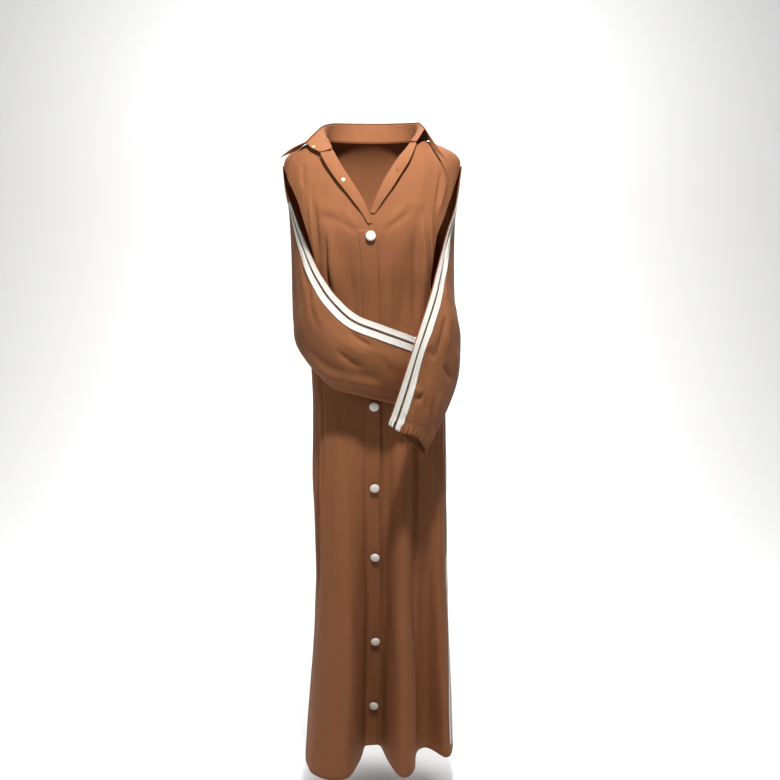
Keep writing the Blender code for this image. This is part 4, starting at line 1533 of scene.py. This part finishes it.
@dataclass
class Sleeve:
    """One slit sleeve with its two tapes, the dark strip between them and the cuff's hem."""

    side: Side
    wall: float = 0.0010
    tape: float = 0.0008
    tape_lift: float = 0.0005
    rows: int = 181
    columns: int = 110
    size: tuple[float, float] = (0.36, 0.62)
    inset: float = 0.0015
    inner_width: float = 0.012
    strip_width: float = 0.0045
    outer_width: float = 0.014
    groove: float = 0.0005
    gap: float = 0.0003
    hidden_bulge: float = 0.6
    seat: float = 0.0012
    overlap: float = 0.004
    tape_top: float = 0.165
    tape_share: float = 0.45
    gold_share: float = 0.42
    stations: tuple[float, ...] = (0.0, 0.28, 0.52, 0.76, 1.0)
    station_power: float = 1.3
    hollow_reach: float = 2.5
    ripple_height: float = 0.0003
    calm_around: float = 0.12
    calm_along: float = 0.2
    gather: float = 0.0011
    gather_start: float = 0.972
    gather_reach: float = 0.012
    gathers: tuple[int, int] = (23, 37)
    groove_along: float = 0.968
    groove_width: float = 0.004
    groove_depth: float = 0.0012
    draw: float = 0.016
    draw_start: float = 0.16
    draw_spread: float = 0.34
    draw_along: float = 0.85
    tape_columns: int = 9
    tape_stitches: tuple[float, float] = (0.7, 7.3)
    strip_columns: int = 7
    cuff_rows: tuple[int, int] = (-14, -2)
    cuff_inset: int = 2
    cuff_stitch: float = 7.0
    tape_thread: Thread = Thread(radius=0.00018)
    cuff_thread: Thread = Thread(length=0.0042, pitch=0.0074, radius=0.00042, jitter=0.2)

    def armhole(self, drop: Array) -> Array:
        """The hidden edge's points: on the back, turned a little over its armhole.

        Args:
            drop: metres below the neck point.

        Returns:
            The points, in the last axis.
        """
        edge = BODY.outer_edge(np.minimum(drop, BODY.underarm_drop - 1e-6), 3)
        angle = self.side.value * (180 - edge + BODY.degrees(self.overlap, drop))
        return BODY.point(angle, drop, self.seat)

    def ring_knots(self) -> Array:
        """The five lines along the sleeve that its sections pass through. The face stands off
        the straight line by the bulge, the hidden side by a share of it.

        Returns:
            Edge, face, fold, behind and back, from the shoulder to the cuff.
        """
        sections = self.side.pick(RIGHT_SLEEVE, LEFT_SLEEVE).copy()
        sewn = sections[:, 9] > 0
        sections[sewn, 6:9] = self.armhole(sections[sewn, 9])
        stations = np.linspace(0, len(sections) - 1, self.rows)
        knots = np.arange(len(sections), dtype=float)
        row = through(knots, sections, stations)
        last_sewn = np.flatnonzero(sewn)[-1]
        on_seam = stations <= last_sewn
        seam = through(knots[sewn], sections[sewn, 9], stations[on_seam])
        row[on_seam, 6:9] = self.armhole(seam)
        edge, fold, back, _, bulge, peak = np.split(row, (3, 6, 9, 10, 11), axis=1)
        off = np.cross(fold - edge, np.gradient((edge + fold) / 2, axis=0))
        off = unit(off * -self.side.value) * bulge
        hollow = smooth_step((stations - last_sewn) / self.hollow_reach)[:, None]
        hollow = hollow * self.hidden_bulge
        face = edge + (fold - edge) * peak + off
        return np.stack([edge, face, fold, (fold + back) / 2 - off * hollow, back])

    def grid(self) -> Array:
        """Smooth loft through the sections, with its creases and the cuff's gathers along
        the normal.

        Returns:
            Rows from the shoulder to the cuff, columns round the section.
        """
        around = np.linspace(0, 1, self.columns) ** self.station_power
        smooth = through(np.array(self.stations), self.ring_knots(), around).swapaxes(0, 1)
        along = np.linspace(0, 1, self.rows)[:, None]
        if self.side is Side.LEFT:
            smooth = self.drawn(smooth, around, along)
        creases = self.side.pick(RIGHT_SLEEVE_CREASES, LEFT_SLEEVE_CREASES)
        rise = crease_rise(around, along, creases, self.size)
        wide, fine = (np.sin(around * 2 * np.pi * count) for count in self.gathers)
        band = smooth_step((along - self.gather_start) / self.gather_reach)
        rise += self.gather * band * (wide + 0.5 * fine + 1)
        off = (along - self.groove_along) / self.groove_width
        rise -= self.groove_depth * np.exp(-(off**2))
        width, length = self.size
        faint = ripple(around * width, along * length, self.ripple_height, 5 + self.side.value)
        faint = faint * smooth_step(around / self.calm_around)
        rise += faint * smooth_step(along / self.calm_along)
        return smooth + self.outward(smooth) * rise[..., None]

    def drawn(self, grid: Array, around: Array, along: Array) -> Array:
        """The sleeve with its front layer's end drawn back between the tapes and the fold by
        draw * sin(pi s), so that the cuff opens. Rows are read between their neighbours.

        Args:
            grid: the sleeve's points.
            around: share round the section of each column.
            along: share of the length of each row.

        Returns:
            The moved points.
        """
        hump = np.sin(np.pi * np.clip((around - self.draw_start) / self.draw_spread, 0, 1))
        near = smooth_step((along - self.draw_along) / (1 - self.draw_along))
        place = (along - self.draw * hump * near) * (len(grid) - 1)
        lower = np.minimum(place.astype(int), len(grid) - 2)
        share = (place - lower)[..., None]
        column = np.arange(grid.shape[1])
        return grid[lower, column] * (1 - share) + grid[lower + 1, column] * share

    def outward(self, grid: Array) -> Array:
        """Normals that point out of the sleeve."""
        return grid_normals(grid) * -self.side.value

    def strip(self, grid: Array, start: float, width: float, columns: int) -> tuple[Array, Array]:
        """A tape: the sleeve's own points at distances from its front edge, moved out. Near
        the shoulder it narrows with the sleeve.

        Args:
            grid: the sleeve's points.
            start: nearest distance from the edge.
            width: the tape's width.
            columns: points across.

        Returns:
            The tape's grid and its normals.
        """
        both = np.concatenate([grid, self.outward(grid)], -1)
        along = run_length(grid, 1)
        full = self.inset + self.inner_width + self.strip_width + self.outer_width + 2 * self.gap
        at = np.linspace(start, start + width, columns)
        rows = []
        for i in range(round(self.tape_top * (len(grid) - 1)), len(grid)):
            place = at * min(1.0, self.tape_share * along[i, -1] / full)
            rows.append([np.interp(place, along[i], both[i, :, k]) for k in range(6)])
        points, normals = np.split(np.moveaxis(np.array(rows), 1, 2), 2, axis=-1)
        normals = unit(normals)
        return points + normals * ((self.wall + self.tape) / 2 + self.tape_lift), normals

    def build(self) -> None:
        """Builds the sleeve, its tapes, the strip with its studs and the stitching."""
        word = self.side.word
        grid = self.grid()
        carrier = "sleeve_%s_crepe" % word
        cloth(carrier, grid, self.wall, CREPE, "sleeve_" + word)
        strip_start = self.inset + self.inner_width + self.gap
        outer_start = strip_start + self.strip_width + self.gap
        bed, normals = self.strip(grid, strip_start, self.strip_width, self.strip_columns)
        name = "snap_strip_" + word
        strip = new_piece(name + "_band", grid_mesh("snap_strip", bed), STRIP, name)
        add_wall(strip, self.tape)
        middle = Trail.on_grid(bed, self.strip_columns // 2, normals, self.tape / 2)
        StudRow().build(name, middle, self.gold_share)
        trails = []
        for name, start, width, mates in (
            ("inner_tape_" + word, self.inset, self.inner_width, (strip,)),
            ("outer_tape_" + word, outer_start, self.outer_width, ()),
        ):
            tape, normals = self.strip(grid, start, width, self.tape_columns)
            edges = np.linspace(-1, 1, self.tape_columns)[:, None] ** 2
            tape = tape + normals * self.groove * edges
            cloth(name + "_cloth", tape, self.tape, TWILL, name, mates)
            trails += [Trail.on_grid(tape, at, normals, self.tape / 2)
                       for at in self.tape_stitches]
        self.tape_thread.sew("tape_stitching_" + word, trails, WHITE_THREAD)
        area = slice(*self.cuff_rows), slice(self.cuff_inset, -self.cuff_inset)
        cuff, normals = (np.swapaxes(part[area], 0, 1) for part in (grid, self.outward(grid)))
        trail = Trail.on_grid(cuff, self.cuff_stitch, normals, self.wall / 2)
        self.cuff_thread.sew("cuff_stitching_" + word, [trail], TAN_THREAD)


@dataclass
class SideTape:
    """The striped tape down a side seam, half of it on the front and half on the back."""

    side: Side
    width: float = 0.024
    top: float = 0.62
    bottom: float = 1.385
    tape: float = 0.0008
    lift: float = 0.0019
    stripe: float = 0.0042
    stripe_lift: float = 0.0006
    stripe_wall: float = 0.0003
    rows: int = 160
    columns: int = 13
    stripe_columns: int = 4
    stitches: tuple[float, float] = (0.8, 11.2)
    thread: Thread = Thread(radius=0.00018)

    def grid(self, width: float, lift: float, columns: int) -> Array:
        """Points across a width of the tape, moved out from the body.

        Args:
            width: metres across.
            lift: metres off the body.
            columns: points across.

        Returns:
            The grid of points.
        """
        drop = np.linspace(self.top, self.bottom, self.rows)[:, None]
        distance = np.linspace(-width / 2, width / 2, columns)
        angle = 90 - BODY.swing(drop, self.side) + BODY.degrees(distance, drop)
        return BODY.point(self.side.value * angle, drop, lift)

    def build(self) -> None:
        """Builds the tape, its dark stripe with the studs, and the stitching."""
        word = self.side.word
        bed = self.grid(self.stripe, self.lift + self.stripe_lift, self.stripe_columns)
        stripe = new_piece("side_strip_%s_band" % word, grid_mesh("side_strip", bed), STRIP)
        add_wall(stripe, self.stripe_wall)
        tape = self.grid(self.width, self.lift, self.columns)
        cloth("side_tape_%s_cloth" % word, tape, self.tape, TWILL,
              "side_tape_" + word, (stripe,))
        normals = grid_normals(tape)
        normals *= np.sign(normals[..., 0:1] * self.side.value)
        top = self.stripe_lift + self.stripe_wall / 2
        StudRow().build("side_strip_" + word,
                        Trail.on_grid(tape, self.columns // 2, normals, top))
        trails = [Trail.on_grid(tape, at, normals, self.tape / 2) for at in self.stitches]
        self.thread.sew("side_stitching_" + word, trails, WHITE_THREAD)


@dataclass
class Fastenings:
    """The domed front buttons on their shanks, and the press studs of collar and lapels."""

    fronts: Fronts
    collar: Collar
    radius: float = 0.0106
    shank: float = 0.0022
    seat: float = 0.0032
    stud_seat: float = 0.0009
    button_sides: int = 64
    stud_sides: int = 32
    stand_at: tuple[int, int] = (5, 8)
    right_drop: float = 0.095
    left_drop: float = 0.072
    lapel_share: float = 0.55

    def build(self) -> None:
        """Builds the buttons, the studs and the covered stud."""
        button = np.vstack([SHANK_PROFILE * (self.shank, 1), BUTTON_PROFILE * (self.radius, 1)])
        for number, (drop, nod, sway) in enumerate(BUTTONS, 1):
            normal = BODY.normal(np.array(0.0), drop)
            tilt = self.shank * math.sin(math.radians(math.hypot(nod, sway)))
            foot = BODY.point(0.0, drop) + normal * (self.seat + tilt)
            axis = normal + np.radians([sway, 0.0, -nod])
            name = "button_%d" % number
            turned(name + "_pearl", button, foot, axis, PEARL, name, self.button_sides)
        stand = self.collar.stand_grid()
        on_stand = stand[self.stand_at], grid_normals(stand)[self.stand_at]
        for name, (place, normal), finish, node in (
            ("stud_stand", on_stand, GOLD, "snap_stand_right"),
            ("stud_lapel", self.on_lapel(Side.RIGHT, self.right_drop), GOLD, "snap_lapel_right"),
            ("stud_covered", self.on_lapel(Side.LEFT, self.left_drop), CREPE, "snap_cover_left"),
        ):
            normal = normal * (-1 if normal[1] > 0 else 1)
            foot = place + normal * self.stud_seat
            turned(name, STUD_PROFILE, foot, normal, finish, node, self.stud_sides)

    def on_lapel(self, side: Side, drop: float) -> tuple[Array, Array]:
        """Place and normal of a stud just past the middle of a lapel's width.

        Args:
            side: which side of the garment.
            drop: metres below the neck point.

        Returns:
            The place and the normal.
        """
        here, along, across = (
            self.fronts.lapel_point(side, drop + down, self.lapel_share + aside)
            for down, aside in ((0, 0), (0.002, 0), (0, 0.05)))
        return here, unit(np.cross(along - here, across - here))


@dataclass(frozen=True)
class Lamp:
    """A square soft light, aimed at a target."""

    name: str
    place: Point
    target: Point
    size: float
    power: float
    colour: Point = (1.0, 1.0, 1.0)

    def build(self) -> None:
        """Places the light."""
        light = bpy.data.lights.new(self.name, "AREA")
        light.size, light.energy, light.color = self.size, self.power, self.colour
        lamp = placed(self.name, light)
        lamp.location = self.place
        aim = Vector(self.target) - Vector(self.place)
        lamp.rotation_euler = aim.to_track_quat("-Z", "Y").to_euler()


@dataclass
class Studio:
    """The pale sweep, the soft lights and the camera at the photograph's angle."""

    floor: float = -1.560
    near: float = -6.0
    half_width: float = 7.0
    depth: float = 3.2
    height: float = 5.0
    bend: float = 1.6
    sweep_tone: float = 0.93
    sweep_roughness: float = 0.9
    camera_place: Point = (0.034, -2.2, -0.2546)
    pitch: float = 8.0
    focal: float = 44.31
    fill: float = 0.10
    backdrop: float = 1.0
    lamps: tuple[Lamp, ...] = (
        Lamp("key", (0.10, -0.92, 0.86), (0.0, -0.08, -0.22), 0.13, 40.0, (1.0, 0.97, 0.94)),
        Lamp("front", (-1.9, -2.0, 0.7), (0.0, 0.0, -0.5), 0.6, 10.0, (1.0, 0.98, 0.96)),
        Lamp("side", (2.2, -0.9, 0.3), (0.0, 0.0, -0.7), 1.0, 0.5, (0.97, 0.98, 1.0)),
        Lamp("behind", (0.0, 1.4, 2.6), (0.0, 3.0, 0.0), 2.6, 80.0),
        Lamp("floor", (0.0, 1.3, 1.2), (0.0, 1.3, -1.56), 2.0, 45.0),
    )

    def sweep(self) -> None:
        """A floor that curves up behind: a quarter circle between two straight runs."""
        turn = np.linspace(0, np.pi / 2, 24)
        run, rise = self.bend * (np.sin(turn) - 1), self.bend * (1 - np.cos(turn))
        y = np.concatenate([[self.near], self.depth + run, [self.depth]])
        z = np.concatenate([[0.0], rise, [self.height]]) + self.floor
        x = np.linspace(-self.half_width, self.half_width, 9)
        grid = np.stack(np.broadcast_arrays(x, y[:, None], z[:, None]), -1)
        made = bpy.data.materials.new("pale_sweep")
        made.use_nodes = True
        nodes = Nodes(made.node_tree)
        nodes.feed(nodes.tree.nodes["Principled BSDF"], {
            "Base Color": (*[self.sweep_tone] * 3, 1.0),
            "Roughness": self.sweep_roughness,
        })
        mesh = grid_mesh("sweep", grid)
        mesh.shade_smooth()
        mesh.materials.append(made)
        placed("sweep", mesh)

    def world(self) -> None:
        """A white sky, brighter where the camera sees it than as a light."""
        world = bpy.data.worlds.new("studio")
        world.use_nodes = True
        bpy.context.scene.world = world
        nodes = Nodes(world.node_tree)
        seen = nodes.add("LightPath", {}).outputs["Is Camera Ray"]
        nodes.feed(nodes.tree.nodes["Background"],
                   {0: (1.0, 1.0, 1.0, 1.0), 1: nodes.stretch(seen, self.fill, self.backdrop)})

    def build(self) -> None:
        """Places the sweep, the lights, the world and the camera."""
        self.sweep()
        for lamp in self.lamps:
            lamp.build()
        self.world()
        lens = bpy.data.cameras.new("camera")
        lens.lens, lens.sensor_width = self.focal, 36.0
        camera = placed("camera", lens)
        camera.location = self.camera_place
        camera.rotation_euler = (math.radians(90 - self.pitch), 0.0, 0.0)
        bpy.context.scene.camera = camera
        bpy.context.scene.view_settings.view_transform = "Standard"


def main() -> None:
    """Builds the studio and every sub-assembly of the garment in order."""
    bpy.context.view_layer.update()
    Studio().build()
    fronts = Fronts()
    collar = Collar(fronts)
    for part in (fronts, BackPanel(), collar):
        part.build()
    for side in Side:
        Sleeve(side).build()
        SideTape(side).build()
    Fastenings(fronts, collar).build()


if __name__ == "__main__":
    logging.basicConfig(level=logging.INFO, format="%(name)s: %(message)s")
    main()
